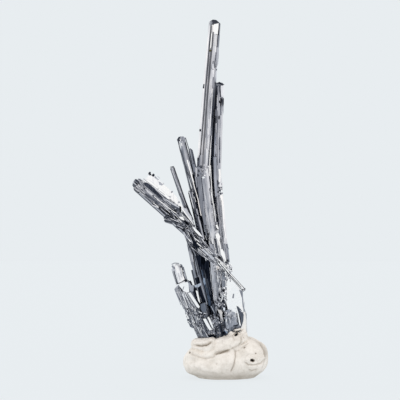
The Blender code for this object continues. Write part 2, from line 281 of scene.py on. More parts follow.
def cutCap(azimuth, slope, height):
    bpy.ops.mesh.select_all(action="SELECT")
    bpy.ops.mesh.bisect(plane_co=(0, 0, height), plane_no=leaning(azimuth, slope), use_fill=True,
                        clear_outer=True, threshold=1e-4)


def setTone(mesh, tone, tint=0.0):
    keepAll(mesh, "tone", "CORNER", tone)
    keepAll(mesh, "tint", "CORNER", np.zeros(len(mesh.loops)) + tint)


def setGrain(mesh, rng, stretch=(1.0, 1.0, 1.0)):
    # keeps where each point lies in its crystal's own frame, for growth lines that follow the crystal
    shift = [rng.uniform(0, grainShift) for axis in range(3)]
    points = readAll(mesh.vertices, "co", 3) * np.array(stretch) + np.array(shift)
    keepAll(mesh, "grain", "POINT", points, 3, "FLOAT_VECTOR")


def faceOfCorner(mesh):
    sizes = readAll(mesh.polygons, "loop_total", kind=np.int32)
    return np.repeat(np.arange(len(sizes)), sizes)


def growCrystal(name, habit):
    # name seeds the random draws
    rng = random.Random(name)
    spec = {**crystalHabit, **habit}
    outline, levels = outlineOf(spec, rng)
    foot, tip = Vector(spec["foot"]), Vector(spec["tip"])
    length = (tip - foot).length
    thing = newBar(name, len(outline), spec["width"][0] / 2, length)
    mesh = thing.data
    for index, (x, y, band) in enumerate(outline):
        for end in (0, 1):
            wide, deep = spec["width"][end], spec["depth"][end]
            mesh.vertices[2 * index + end].co = (x * wide, y * deep, end * length)
    strips = []
    for polygon in mesh.polygons:
        columns = sorted({vertex // 2 for vertex in polygon.vertices})
        strips.append(columns[-1] if columns == [0, len(outline) - 1] else columns[0])
    keepAll(mesh, "band", "FACE", [outline[strip][2] for strip in strips], kind="INT")
    keepAll(mesh, "strip", "FACE", strips, kind="INT")
    keepAll(mesh, "column", "POINT", [vertex.index // 2 for vertex in mesh.vertices], kind="INT")
    bpy.context.tool_settings.mesh_select_mode = (False, True, False)
    for element in (*mesh.polygons, *mesh.vertices):
        element.select = False
    for edge in mesh.edges:
        edge.select = edge.vertices[0] // 2 == edge.vertices[1] // 2
    bpy.ops.object.mode_set(mode="EDIT")
    bpy.ops.mesh.subdivide(number_cuts=max(2, round(length / spec["step"])))
    bpy.ops.object.mode_set(mode="OBJECT")
    weather(mesh, spec, len(outline), length, rng)
    bpy.ops.object.mode_set(mode="EDIT")
    for azimuth, slope, drop, level in spec["caps"]:
        cutCap(azimuth, slope, length - drop)
    closeUp()
    paintCrystal(mesh, spec, levels, foot, tip, rng)
    setGrain(mesh, rng)
    thing.matrix_world = Matrix.Scale(mm, 4) @ placing(foot, tip)
    only(thing)
    bpy.ops.object.transform_apply(location=True, rotation=True, scale=True)
    return thing


def weather(mesh, spec, columnCount, length, rng):
    # gentle swelling along each ridge, a bow, and ledges where a layer of growth stops short
    points = readAll(mesh.vertices, "co", 3)
    column = readAll(mesh.attributes["column"].data, "value", kind=np.int32)
    height = points[:, 2]
    swell = np.zeros(len(points))
    for wave in spec["waves"]:
        phase = np.array([rng.uniform(0, math.tau) for index in range(columnCount)])
        swell += spec["ripple"] * np.sin(height / wave * math.tau + phase[column])
    for ledge in range(spec["ledges"]):
        start = rng.randrange(columnCount)
        span = rng.randint(1, 3)
        low = rng.uniform(0, length * 0.9)
        high = low + rng.uniform(3, length * 0.4)
        inside = ((column - start) % columnCount <= span) & (height > low) & (height < high)
        swell += inside * rng.choice(spec["rise"])
    flat = points[:, :2]
    outwards = flat / np.maximum(np.linalg.norm(flat, axis=1, keepdims=True), 1e-6)
    flat += outwards * swell[:, None]
    share = height / length
    for axis, bow in enumerate(spec["bow"]):
        flat[:, axis] += bow * 4 * share * (1 - share)
    mesh.vertices.foreach_set("co", points.ravel())


def paintCrystal(mesh, spec, levels, foot, tip, rng):
    # painted brightness of each band up the crystal (its highlights, reflections and shade), then a random
    # shift for single strips, and painted brightness for the cuts at its head
    faceOf = faceOfCorner(mesh)
    band, strip = (readAll(mesh.attributes[name].data, "value", kind=np.int32)[faceOf]
                   for name in ("band", "strip"))
    normals = readAll(mesh.polygons, "normal", 3)
    corners = readAll(mesh.vertices, "co", 3)[readAll(mesh.loops, "vertex_index", kind=np.int32)]
    rise = (tip.z - foot.z) / (tip - foot).length
    height = foot.z + corners[:, 2] * rise
    tone = np.full(len(corners), 0.5)
    tint = np.zeros(len(corners))
    for index, (share, level, *cast) in enumerate(levels):
        keys = level if isinstance(level, tuple) else ((0, level),)
        chosen = band == index
        tone[chosen] = np.interp(height[chosen], [key[0] for key in keys], [key[1] for key in keys])
        if cast:
            tint[chosen] = cast[0]
    vary = np.array([rng.uniform(-1, 1) for index in range(int(strip.max()) + 1)])
    tone += vary[strip] * spec["vary"]
    for azimuth, slope, drop, level in spec["caps"]:
        facing = normals @ np.array(leaning(azimuth, slope))
        tone[((normals[:, 2] > 0.3) & (facing > 0.985))[faceOf]] = level
    setTone(mesh, tone, tint)


smallParts = {
    "needles": ((5, 5), (6, 9), (5, 9), (6, 15), (5, 15), (6, 24)),      # sides, and length in thicknesses
    "needleCorners": (0.78, 1.15),           # how far corners stand out, as a share of the radius
    "needleTaper": 0.18,
    "needleCuts": ((25, 55, 0.5), (15, 40, 0.2)),        # at the head: slopes in degrees, and how far down
    "needleFoot": (20, 45, 0.4),
    "needleDepth": 0.8,                      # as a share of its width
    "needleVary": 0.15,                      # brightness from face to face
    "chips": 7,
    "chipCuts": 5,
    "chipReach": (0.28, 0.42),               # from the middle to each cut
    "lathThick": 0.7,                        # mm
    "lathRim": 0.2,                          # width of a bevelled side, as a share of the lath's
    "lathDark": -0.12,                       # painted shade on its bevelled sides: their brightness against its face
    # painted shade on a facet's sides and back, against its face
    "facetDark": -0.1,
    "facetFlare": 0.03,                      # how much wider a facet is at its back
}


def modelNeedle(name, sides, length, rng):
    # a splinter one millimetre thick, cut off slantwise at both ends
    thing = newBar(name, sides, 0.5, length)
    for index in range(sides):
        grow = rng.uniform(*smallParts["needleCorners"])
        for end in (0, 1):
            vertex = thing.data.vertices[2 * index + end]
            taper = 1.0 - end * rng.uniform(0.0, smallParts["needleTaper"])
            vertex.co = (vertex.co.x * grow * taper, vertex.co.y * grow * taper, vertex.co.z + length / 2)
    bpy.ops.object.mode_set(mode="EDIT")
    for least, most, drop in smallParts["needleCuts"]:
        cutCap(rng.uniform(0, 360), rng.uniform(least, most), length - drop)
    least, most, lift = smallParts["needleFoot"]
    cutCap(rng.uniform(0, 360), 180 - rng.uniform(least, most), lift)
    closeUp()
    return thing


def anyWay(rng):
    return Vector((rng.gauss(0, 1), rng.gauss(0, 1), rng.gauss(0, 1)))


def modelChip(name, rng):
    # an angular crumb about one millimetre across
    bpy.ops.object.select_all(action="DESELECT")
    bpy.ops.mesh.primitive_cube_add(size=1.0)
    thing = bpy.context.object
    thing.name = name
    bpy.ops.object.mode_set(mode="EDIT")
    for cut in range(smallParts["chipCuts"]):
        normal = anyWay(rng).normalized()
        bpy.ops.mesh.select_all(action="SELECT")
        bpy.ops.mesh.bisect(plane_co=normal * rng.uniform(*smallParts["chipReach"]), plane_no=normal,
                            use_fill=True, clear_outer=True)
    closeUp()
    return thing


def modelPrism(name, sides):
    # a short bar whose corner 2i is at its foot and 2i + 1 at its head
    thing = newBar(name, sides, 0.5, 1.0)
    for index in range(sides):
        around = math.tau * (0.5 + index / sides)
        for end in (0, 1):
            thing.data.vertices[2 * index + end].co = (math.cos(around) / 2, math.sin(around) / 2, end)
    bpy.ops.object.mode_set(mode="EDIT")
    closeUp()
    return thing


def putIn(master, mesh, matrix=Matrix()):
    # puts a master's copied mesh, modelled in mm, into the scene
    mesh.transform(Matrix.Scale(mm, 4) @ matrix)
    thing = bpy.data.objects.new(master.name + "Copy", mesh)
    bpy.context.scene.collection.objects.link(thing)
    return thing


def copyOf(master, matrix, level, spread, rng, stretch):
    # level is the usual brightness of the copy's faces and spread how far single faces stray from it
    mesh = master.data.copy()
    faces = np.array([level + rng.uniform(-spread, spread) for polygon in mesh.polygons])
    setTone(mesh, faces[faceOfCorner(mesh)])
    setGrain(mesh, rng, stretch)
    return putIn(master, mesh, matrix @ Matrix.Diagonal((*stretch, 1)))


def needle(foot, tip, thick, level, rng):
    length = (Vector(tip) - Vector(foot)).length
    master = min(needleMasters, key=lambda one: abs(one["length"] - length / thick) + rng.uniform(0, 3))
    stretch = (thick, thick * smallParts["needleDepth"], length / master["length"])
    matrix = placing(foot, tip) @ Matrix.Rotation(rng.uniform(-0.5, 0.5), 4, "Z")
    return copyOf(master["thing"], matrix, level, smallParts["needleVary"], rng, stretch)


def chip(at, size, level, rng, spread=0.16, along=None):
    turn = Matrix.Rotation(rng.uniform(0, math.tau), 4, anyWay(rng))
    stretch = (size * rng.uniform(0.6, 1.2), size * rng.uniform(0.5, 1.0), size * rng.uniform(0.9, 1.8))
    if along:
        turn = placing((0, 0, 0), along, rng.uniform(0, math.tau))
    return copyOf(rng.choice(chipMasters), Matrix.Translation(at) @ turn, level, spread, rng, stretch)


def reshaped(master, points, tone, tint, seed):
    # a copy of a prism with its corners moved to points, in mm
    mesh = master.data.copy()
    mesh.vertices.foreach_set("co", np.array([tuple(point) for point in points], np.float32).ravel())
    setTone(mesh, tone, tint)
    setGrain(mesh, random.Random(seed))
    return putIn(master, mesh)


def splinter(start, end, wide, level, tint, front, slant=0.3):
    # a thin lath seen between two points (x, z); wide and level may each be a pair, one for either end, and
    # its two bevelled sides are painted darker than its face, as shade
    wides = wide if isinstance(wide, tuple) else (wide, wide)
    levels = level if isinstance(level, tuple) else (level, level)
    thick, rim = smallParts["lathThick"], smallParts["lathRim"]
    foot, tip = inView(*start, front + thick / 2), inView(*end, front + thick / 2)
    place = placing(foot, tip)
    length = (tip - foot).length
    section = ((-0.5, 0.0), (-0.5 + rim, -0.5), (0.5 - rim, -0.5),
               (0.5, 0.0), (0.5 - rim, 0.5), (-0.5 + rim, 0.5))
    points = []
    for x, y in section:
        for side, size in zip((0, 1), wides):
            rise = side * length + x * slant * size * (1 if side else -1)
            points.append(place @ Vector((x * size, y * thick, rise)))
    master = prismMasters[len(section)]
    tone = []
    for polygon in master.data.polygons:
        columns = {vertex // 2 for vertex in polygon.vertices}
        shade = smallParts["lathDark"] if columns in ({0, 1}, {2, 3}) else 0.0
        tone += [levels[vertex % 2] + shade for vertex in polygon.vertices]
    return reshaped(master, points, tone, tint, str((start, end)))


def flake(corners, level, tint, front, thick=0.6):
    # a flat cleavage facet seen as the polygon corners (x, z); its sides and back are painted darker, as
    # shade
    if sum(a[0] * b[1] - b[0] * a[1] for a, b in zip(corners, corners[1:] + corners[:1])) > 0:
        corners = corners[::-1]
    middle = Vector((sum(x for x, z in corners), 0, sum(z for x, z in corners))) / len(corners)
    behind = inView(middle.x, middle.z, front + thick)
    points = []
    for x, z in corners:
        points.append(inView(x, z, front))
        points.append(inView(x, z, front + thick).lerp(behind, -smallParts["facetFlare"]))
    master = prismMasters[len(corners)]
    tone = []
    for polygon in master.data.polygons:
        shade = 0.0 if all(vertex % 2 == 0 for vertex in polygon.vertices) else smallParts["facetDark"]
        tone += [level + shade] * len(polygon.vertices)
    return reshaped(master, points, tone, tint, str(corners))


def fibres(edges, count, wide, level, contrast, front, length):
    # loose laths that run from the line edges[0]-edges[1] to the line edges[2]-edges[3]
    rng = random.Random(str(edges))
    things = []
    for index in range(count):
        share = (index + rng.uniform(0.1, 0.9)) / count
        begin = Vector(edges[0]).lerp(Vector(edges[1]), share)
        finish = Vector(edges[2]).lerp(Vector(edges[3]), min(1, max(0, share + rng.uniform(-0.08, 0.08))))
        part = rng.uniform(*length)
        low = rng.uniform(0, 1 - part)
        shade = level + rng.choice((-1.0, -0.6, -0.2, 0.2, 0.7, 1.5)) * contrast * rng.uniform(0.6, 1.2)
        size = wide * rng.uniform(0.6, 1.5)
        things.append(splinter(tuple(begin.lerp(finish, low)), tuple(begin.lerp(finish, low + part)),
                               (size, size * rng.uniform(0.3, 1.0)), shade, 0.0, front + rng.uniform(0, 0.5),
                               slant=rng.uniform(-0.8, 0.8)))
    return things


# A piece's dictionary holds, in mm, its crystals and what lies on them.
# Every brightness in it is painted light: high ones are painted highlights and reflections, low ones painted
# shade, and many of the darkest facets are dark sheets put where the crystals shade one another.
# A crystal: foot and tip, width and depth at either end, bands of faces (where they start across it, their
# brightness or pairs of height and brightness, and a tint if they have one), and caps cut across its head
# (azimuth, slope, distance below the tip, brightness).
# What lies on them is at places (x, z) as seen from the front; a depth is behind the spray's middle.
#   facets: corners, brightness, tint, depth, and thickness where it isn't the usual one
#   splinters: path, width, brightness, tint, depth
#   fibres: four corners, count, width, brightness, contrast, depth, least and greatest share of the run
def grown(name, piece):
    things = [growCrystal(name + part, spec) for part, spec in piece.items() if isinstance(spec, dict)]
    things += [flake(list(corners), *rest) for corners, *rest in piece.get("facets", ())]
    for row in piece.get("fibres", ()):
        things += fibres(*row)
    for run, *rest in piece.get("splinters", ()):
        things += [splinter(start, end, *rest) for start, end in zip(run, run[1:])]
    return things


makingRng = random.Random(4)
needleMasters = [{"thing": modelNeedle(f"needleMaster{index}", sides, length, makingRng), "length": length}
                 for index, (sides, length) in enumerate(smallParts["needles"])]
chipMasters = [modelChip(f"chipMaster{index}", makingRng) for index in range(smallParts["chips"])]
prismMasters = {sides: modelPrism(f"prismMaster{sides}", sides) for sides in range(3, 10)}
print("needles, chips and prisms modelled")


tallCrystal = {
    "upper": {
        "foot": (1.5, 0.1, 84.4), "tip": (6.3, 0.0, 149.75), "width": (6.1, 4.9), "depth": (5.0, 4.1),
        "bow": (-0.35, 0), "ridge": 0.44, "ledges": 5,
        "bands": (
            (0.00, ((90, 0.88), (120, 0.92), (135, 0.94), (144, 0.92), (148, 0.76))),
            (0.15, ((90, 0.47), (103, 0.56), (112, 0.52), (124, 0.42), (134, 0.52), (142, 0.48),
                    (147, 0.60))),
            (0.22, ((90, 0.64), (103, 0.76), (112, 0.72), (124, 0.66), (137, 0.66), (138.4, 1.0),
                    (143.5, 1.0), (145, 0.84)), -0.15),
            (0.33, ((90, 0.52), (103, 0.60), (112, 0.52), (124, 0.41), (134, 0.42), (142, 0.50),
                    (143.8, 0.55), (144.4, 0.90)), -0.3),
            (0.47, ((90, 0.60), (100, 0.60), (112, 0.66), (124, 0.80), (133, 0.70), (136, 0.84),
                    (144, 0.95))),
            (0.58, ((84, 0.88), (95, 0.90), (112, 0.86), (118, 0.78), (124, 0.86), (129, 0.90), (132, 0.74),
                    (134.5, 0.74), (136, 0.82), (141.5, 0.90), (143, 0.84), (143.6, 1.0), (148, 1.0))),
            (0.80, ((84, 0.84), (93, 0.72), (102, 0.50), (107, 0.22), (116, 0.18), (121, 0.42), (127, 0.76),
                    (129, 0.60), (134, 0.66), (140, 0.56), (147, 0.45))),
            (0.93, ((84, 0.90), (98, 0.88), (103, 0.46), (107, 0.14), (120, 0.12), (124, 0.60), (127, 0.82),
                    (137, 0.78), (143, 0.60), (147, 0.45)), 0.3),
        ),
        "caps": ((281, 50, 0.0, 0.24), (96, 42, 0.0, 0.6), (8, 40, -0.40, 0.42), (190, 36, -0.75, 0.85)),
    },
    "lower": {
        "foot": (9.6, 0.6, 18), "tip": (1.6, 0.0, 87.5), "width": (5.8, 5.8), "depth": (5.0, 5.0),
        "ridge": 0.62, "ledges": 8, "relief": 0.015,
        "bands": (
            (0.00, ((50, 0.60), (64, 0.66), (78, 0.60), (84, 0.56))),
            (0.07, ((50, 0.85), (60, 0.84), (70, 0.90), (84, 0.76))),
            (0.20, ((50, 0.78), (60, 0.84), (70, 0.74), (84, 0.66))),
            (0.34, ((50, 0.76), (60, 0.82), (70, 0.68), (84, 0.64))),
            (0.50, ((50, 0.78), (60, 0.84), (70, 0.72), (84, 0.68))),
            (0.66, ((50, 0.74), (60, 0.82), (70, 0.74), (76, 0.82), (84, 0.84))),
            (0.80, ((50, 0.70), (60, 0.80), (70, 0.74), (76, 0.56), (84, 0.72))),
            (0.90, ((50, 0.96), (66, 0.97), (72, 0.86), (84, 0.92))),
        ),
        "caps": ((205, 26, 0.0, 0.5), (40, 34, 0.2, 0.6)),
    },
    "column": {
        "foot": (8.4, -0.9, 20), "tip": (5.2, -0.9, 56), "width": (6.2, 5.9), "depth": (4.6, 4.6),
        "ridge": 0.55, "ledges": 8, "relief": 0.02,
        "bands": (
            (0.00, ((34, 0.64), (50, 0.68))),
            (0.08, ((30, 0.70), (40, 0.78), (50, 0.80))),
            (0.30, ((30, 0.64), (40, 0.72), (50, 0.78))),
            (0.48, ((30, 0.55), (42, 0.52), (47, 0.70))),
            (0.60, ((30, 0.66), (36, 0.72), (44, 0.72), (50, 0.76))),
            (0.86, ((30, 0.60), (38, 0.56), (44, 0.62), (50, 0.76))),
        ),
        "caps": ((205, 26, 0.0, 0.5), (40, 34, 0.2, 0.6)),
    },
    "splinters": (
        (((4.5, 147.2), (4.2, 141.5), (3.4, 133.1), (1.7, 112.2), (0.0, 93.3)), 0.32, 0.38, -0.7, -2.3),
        (((4.9, 144.0), (4.4, 138.1)), 0.75, 1.15, 0.0, -2.5),
        (((5.65, 144.6), (5.3, 139.0), (4.6, 133.1), (2.9, 112.2), (1.2, 93.3)), 0.34, 0.38, -0.7, -2.5),
        (((8.15, 148.2), (7.85, 143.2)), 0.42, 0.40, 0.1, -1.8),
        (((7.9, 143.4), (7.55, 138.3)), 0.75, (0.58, 0.62), 0.15, -2.0),
        (((7.1, 136.2), (6.7, 133.6), (6.3, 132.0)), 0.28, 0.60, 0.1, -2.3),
        (((6.2, 132.2), (6.5, 129.6)), 0.25, 0.60, 0.0, -2.2),
        (((5.6, 132.6), (5.4, 131.4)), 0.3, 0.42, 0.0, -2.3),
        (((1.5, 123.0), (1.2, 121.2)), 0.26, 0.46, 0.0, -0.9),
        (((-0.15, 104.2), (-0.25, 103.2)), 0.26, 0.46, 0.0, -0.9),
        (((-1.1, 92.2), (-1.15, 91.0)), 0.26, 0.5, 0.0, -0.9),
        (((4.8, 101.4), (4.35, 95.8)), 0.45, (0.8, 0.9), 0.0, -2.1),
        (((4.35, 96.0), (4.0, 88.7), (3.95, 84.5)), 0.5, 1.1, 0.0, -2.1),
        (((4.3, 101.0), (3.75, 93.3), (3.5, 88.7)), 0.32, 0.42, 0.0, -2.2),
        (((4.3, 113.5), (4.0, 110.0)), 0.3, 0.5, 0.0, -2.2),
        (((4.9, 131.2), (5.0, 129.4), (5.7, 129.0)), 0.2, 0.55, 0.0, -2.5),
        (((4.4, 89.0), (4.6, 84.0), (5.05, 76.6), (5.6, 72.8), (6.15, 68.2), (6.6, 65.4)),
         0.42, 1.1, 0.0, -2.7),
        (((4.95, 91.0), (5.6, 81.2), (5.95, 76.6), (6.3, 72.8), (6.95, 68.2), (7.25, 65.2)),
         0.75, 0.10, 0.4, -2.5),
        (((4.1, 79.4), (4.5, 75.4), (5.0, 72.4)), 0.3, 0.30, 0.1, -2.6),
        (((6.4, 58.2), (6.9, 55.6), (7.5, 52.0)), 0.8, 0.34, 0.1, -3.5),
        (((-1.0, 80.1), (-0.5, 73.7), (0.7, 67.8)), 0.26, 0.22, 0.1, -2.4),
        (((4.9, 80.0), (5.0, 76.0)), 0.3, 0.45, 0.0, -2.4),
        (((6.5, 62.9), (7.4, 61.8)), 0.5, 0.25, 0.0, -2.9),
        (((2.9, 83.0), (3.7, 77.9), (5.0, 73.2)), 0.45, 0.92, 0.0, -2.4),
        (((1.6, 60.9), (2.2, 58.6), (3.6, 55.9)), 1.2, 0.04, 0.0, -2.9),
        (((2.1, 59.6), (2.9, 57.7)), 0.25, 0.8, 0.0, -3.1),
        (((-0.6, 65.1), (0.4, 63.6)), 0.8, 0.08, 0.0, -2.9),
        (((7.0, 44.7), (6.9, 41.4)), 0.3, 0.36, 0.0, -3.3),
        (((9.0, 43.5), (9.2, 33.5)), 0.3, 0.38, 0.0, -3.3),
        (((3.6, 58.0), (5.9, 55.0)), 0.4, 0.35, 0.0, -3.2),
        (((4.8, 56.4), (6.4, 53.4)), 0.5, 0.45, 0.0, -3.3),
        (((5.6, 58.6), (5.9, 56.0)), 0.4, 0.85, 0.0, -3.2),
    ),
    "fibres": (
        (((0.2, 82.0), (4.4, 82.0), (3.4, 60.0), (8.0, 60.0)), 60, 0.22, 0.78, 0.12, -2.5, (0.12, 0.45)),
        (((3.4, 60.0), (7.4, 62.0), (5.0, 48.0), (9.0, 48.0)), 50, 0.24, 0.90, 0.16, -3.2, (0.12, 0.45)),
        (((4.6, 51.0), (8.0, 51.0), (6.4, 31.0), (10.2, 31.0)), 60, 0.24, 0.80, 0.16, -3.5, (0.10, 0.4)),
        (((3.9, 126.0), (5.9, 126.0), (1.8, 94.0), (3.9, 94.0)), 30, 0.18, 0.80, 0.10, -2.5, (0.08, 0.3)),
    ),
    "facets": (
        (((3.9, 148.2), (4.3, 148.9), (5.0, 149.3), (5.2, 148.4), (4.95, 147.8), (4.2, 147.2)),
         0.6, 0.0, -2.3),
        (((7.85, 138.4), (7.9, 136.5), (7.8, 134.0), (7.55, 131.4), (7.1, 130.2), (6.8, 129.8),
          (6.8, 133.1), (7.05, 136.5), (7.2, 138.4)), 0.74, 0.1, -1.3),
        (((5.8, 147.9), (7.8, 148.3), (7.75, 147.0), (7.4, 143.7), (5.9, 143.9)), 1.15, 0.0, -2.45, 0.4),
        (((5.85, 143.6), (7.3, 143.6), (7.0, 139.0), (5.5, 139.0)), 0.84, 0.0, -2.4, 0.4),
        (((-2.0, 88.2), (-1.3, 87.8), (-1.3, 84.2), (-1.8, 84.0)), 0.74, 0.0, -2.6),
        (((6.5, 64.1), (7.4, 63.9), (7.9, 62.5), (7.6, 62.0), (6.9, 62.9)), 1.15, 0.0, -3.0),
        (((6.4, 60.0), (7.8, 60.5), (8.5, 59.2), (8.2, 57.4), (7.5, 57.5), (6.7, 58.8)), 1.1, 0.0, -3.0),
        (((7.7, 57.7), (8.3, 57.4), (8.8, 54.8), (9.0, 53.3), (8.2, 54.6)), 1.15, 0.0, -3.3),
        (((8.4, 53.8), (9.5, 53.8), (10.4, 51.8), (11.1, 48.6), (9.8, 49.6), (8.7, 51.7)), 1.15, 0.0, -3.4),
        (((9.6, 50.4), (11.0, 49.0), (12.3, 45.4), (11.6, 44.8), (10.4, 46.6)), 1.15, 0.0, -3.5),
        (((7.5, 51.2), (8.5, 50.8), (9.1, 49.7), (8.2, 49.9)), 0.05, 0.0, -3.9),
        (((-0.4, 67.0), (0.6, 67.1), (0.7, 66.0), (0.2, 65.6), (-0.4, 65.9)), 0.03, 0.0, -3.2),
        (((-1.8, 88.2), (-0.8, 80.1), (-0.3, 73.7), (0.9, 67.8), (1.7, 64.0), (3.0, 64.0), (2.2, 68.0),
          (1.2, 75.0), (0.2, 88.2)), 0.56, 0.1, -2.3),
        (((6.9, 46.8), (7.9, 46.6), (8.3, 45.2), (7.0, 45.0)), 0.93, -0.5, -3.6),
        (((7.0, 49.4), (8.6, 48.0), (9.6, 46.8), (8.6, 46.6), (7.1, 47.9)), 0.66, 0.6, -3.5),
        (((9.0, 44.9), (10.9, 43.8), (10.6, 41.2), (9.4, 41.6)), 0.74, 0.05, -3.5),
        (((9.8, 46.0), (10.7, 44.4), (11.1, 38.8), (11.1, 32.6), (10.3, 28.4), (9.0, 28.4), (9.3, 36.7),
          (9.3, 44.3)), 0.6, 0.1, -5.6),
        (((3.6, 56.6), (5.6, 55.6), (6.4, 53.0), (4.4, 54.4)), 0.66, 0.1, -3.3),
    ),
    # the ragged break where the upper length leans away: how many crumbs, where their arch starts, its
    # width, rise and scatter, then crumbs listed one by one
    "break": (30, (-1.3, 86.0), 5.4, 2.4, 1.3),
    "breakSizes": (0.5, 1.1),
    # the crumbs' painted brightness; the listed ones below carry painted glints and painted shade
    "breakLevels": (0.56, 0.66, 0.72, 0.8, 0.9),
    "breakGlints": ((2.6, 86.2, 1.0), (1.4, 83.9, 1.0), (2.2, 84.9, 0.95), (-0.4, 86.6, 0.15),
                    (-0.8, 84.8, 0.2), (3.4, 88.0, 0.9), (0.4, 88.4, 0.3)),
    # frosted scraps where the bundle's last needles cross it: how many, where they start, how far they run
    # across and down, and their scatter
    "scraps": (56, (5.0, 49.6), (6.4, 7.6), (0.9, 1.3)),
    "scrapSizes": (0.3, 0.7),
    "scrapLevels": (0.45, 0.6, 0.7, 0.8, 0.95),
    "crustTones": ("#3c3a12", "#66622c"),
}


def ironCrust():
    # A grain of iron oxide grown on the stibnite: an earthy, dull olive brown.
    material, tree, shader = newMaterial("ironCrust")
    place = addNode(tree, "ShaderNodeTexCoord")
    mottle = addNode(tree, "ShaderNodeTexNoise", {"Scale": 2000.0}, {"Vector": place.outputs["Object"]})
    ramp = addNode(tree, "ShaderNodeValToRGB", {}, {"Fac": mottle.outputs["Fac"]})
    for stop, tone in zip(ramp.color_ramp.elements, tallCrystal["crustTones"]):
        stop.color = hexToLinear(tone)
    tree.links.new(ramp.outputs["Color"], shader.inputs["Base Color"])
    shader.inputs["Roughness"].default_value = 0.6
    return material


def makeTallCrystal():
    rng = random.Random(21)
    table = tallCrystal
    things = grown("tall", table)
    count, (left, bottom), wide, rise, scatter = table["break"]
    for index in range(count):
        share = rng.random()
        x = left + wide * share
        z = bottom + rise * share * (1 - share) + rng.gauss(0, scatter)
        level = rng.choice(table["breakLevels"])
        at = inView(x, z, -2.2 + abs(share - 0.5) * 1.6)
        things.append(chip(at, rng.uniform(*table["breakSizes"]), level, rng, 0.08))
    for x, z, level in table["breakGlints"]:
        things.append(chip(inView(x, z, -3.0), 1.0, level, rng, 0.08))
    count, (left, top), (across, down), (aside, above) = table["scraps"]
    for index in range(count):
        share = rng.random()
        x = left + across * share + rng.gauss(0, aside)
        z = top - down * share + rng.gauss(0, above)
        things.append(chip(inView(x, z, -4.4), rng.uniform(*table["scrapSizes"]),
                           rng.choice(table["scrapLevels"]), rng, 0.12, (0.7, 0, -0.7)))
    # a crumb that clings to the edge higher up
    things.append(chip(inView(6.75, 128.9, -0.9), 0.7, 0.36, rng, 0.05, (0.1, 0, 1)))
    crust = chip(inView(4.25, 136.9, -2.8), 0.95, 0.5, rng)
    crust.name = "ironCrust"
    finished(crust, ironCrust(), None)
    finished(joined("tallCrystal", things), greyStibnite, "stibnite_grey", "tall_crystal")


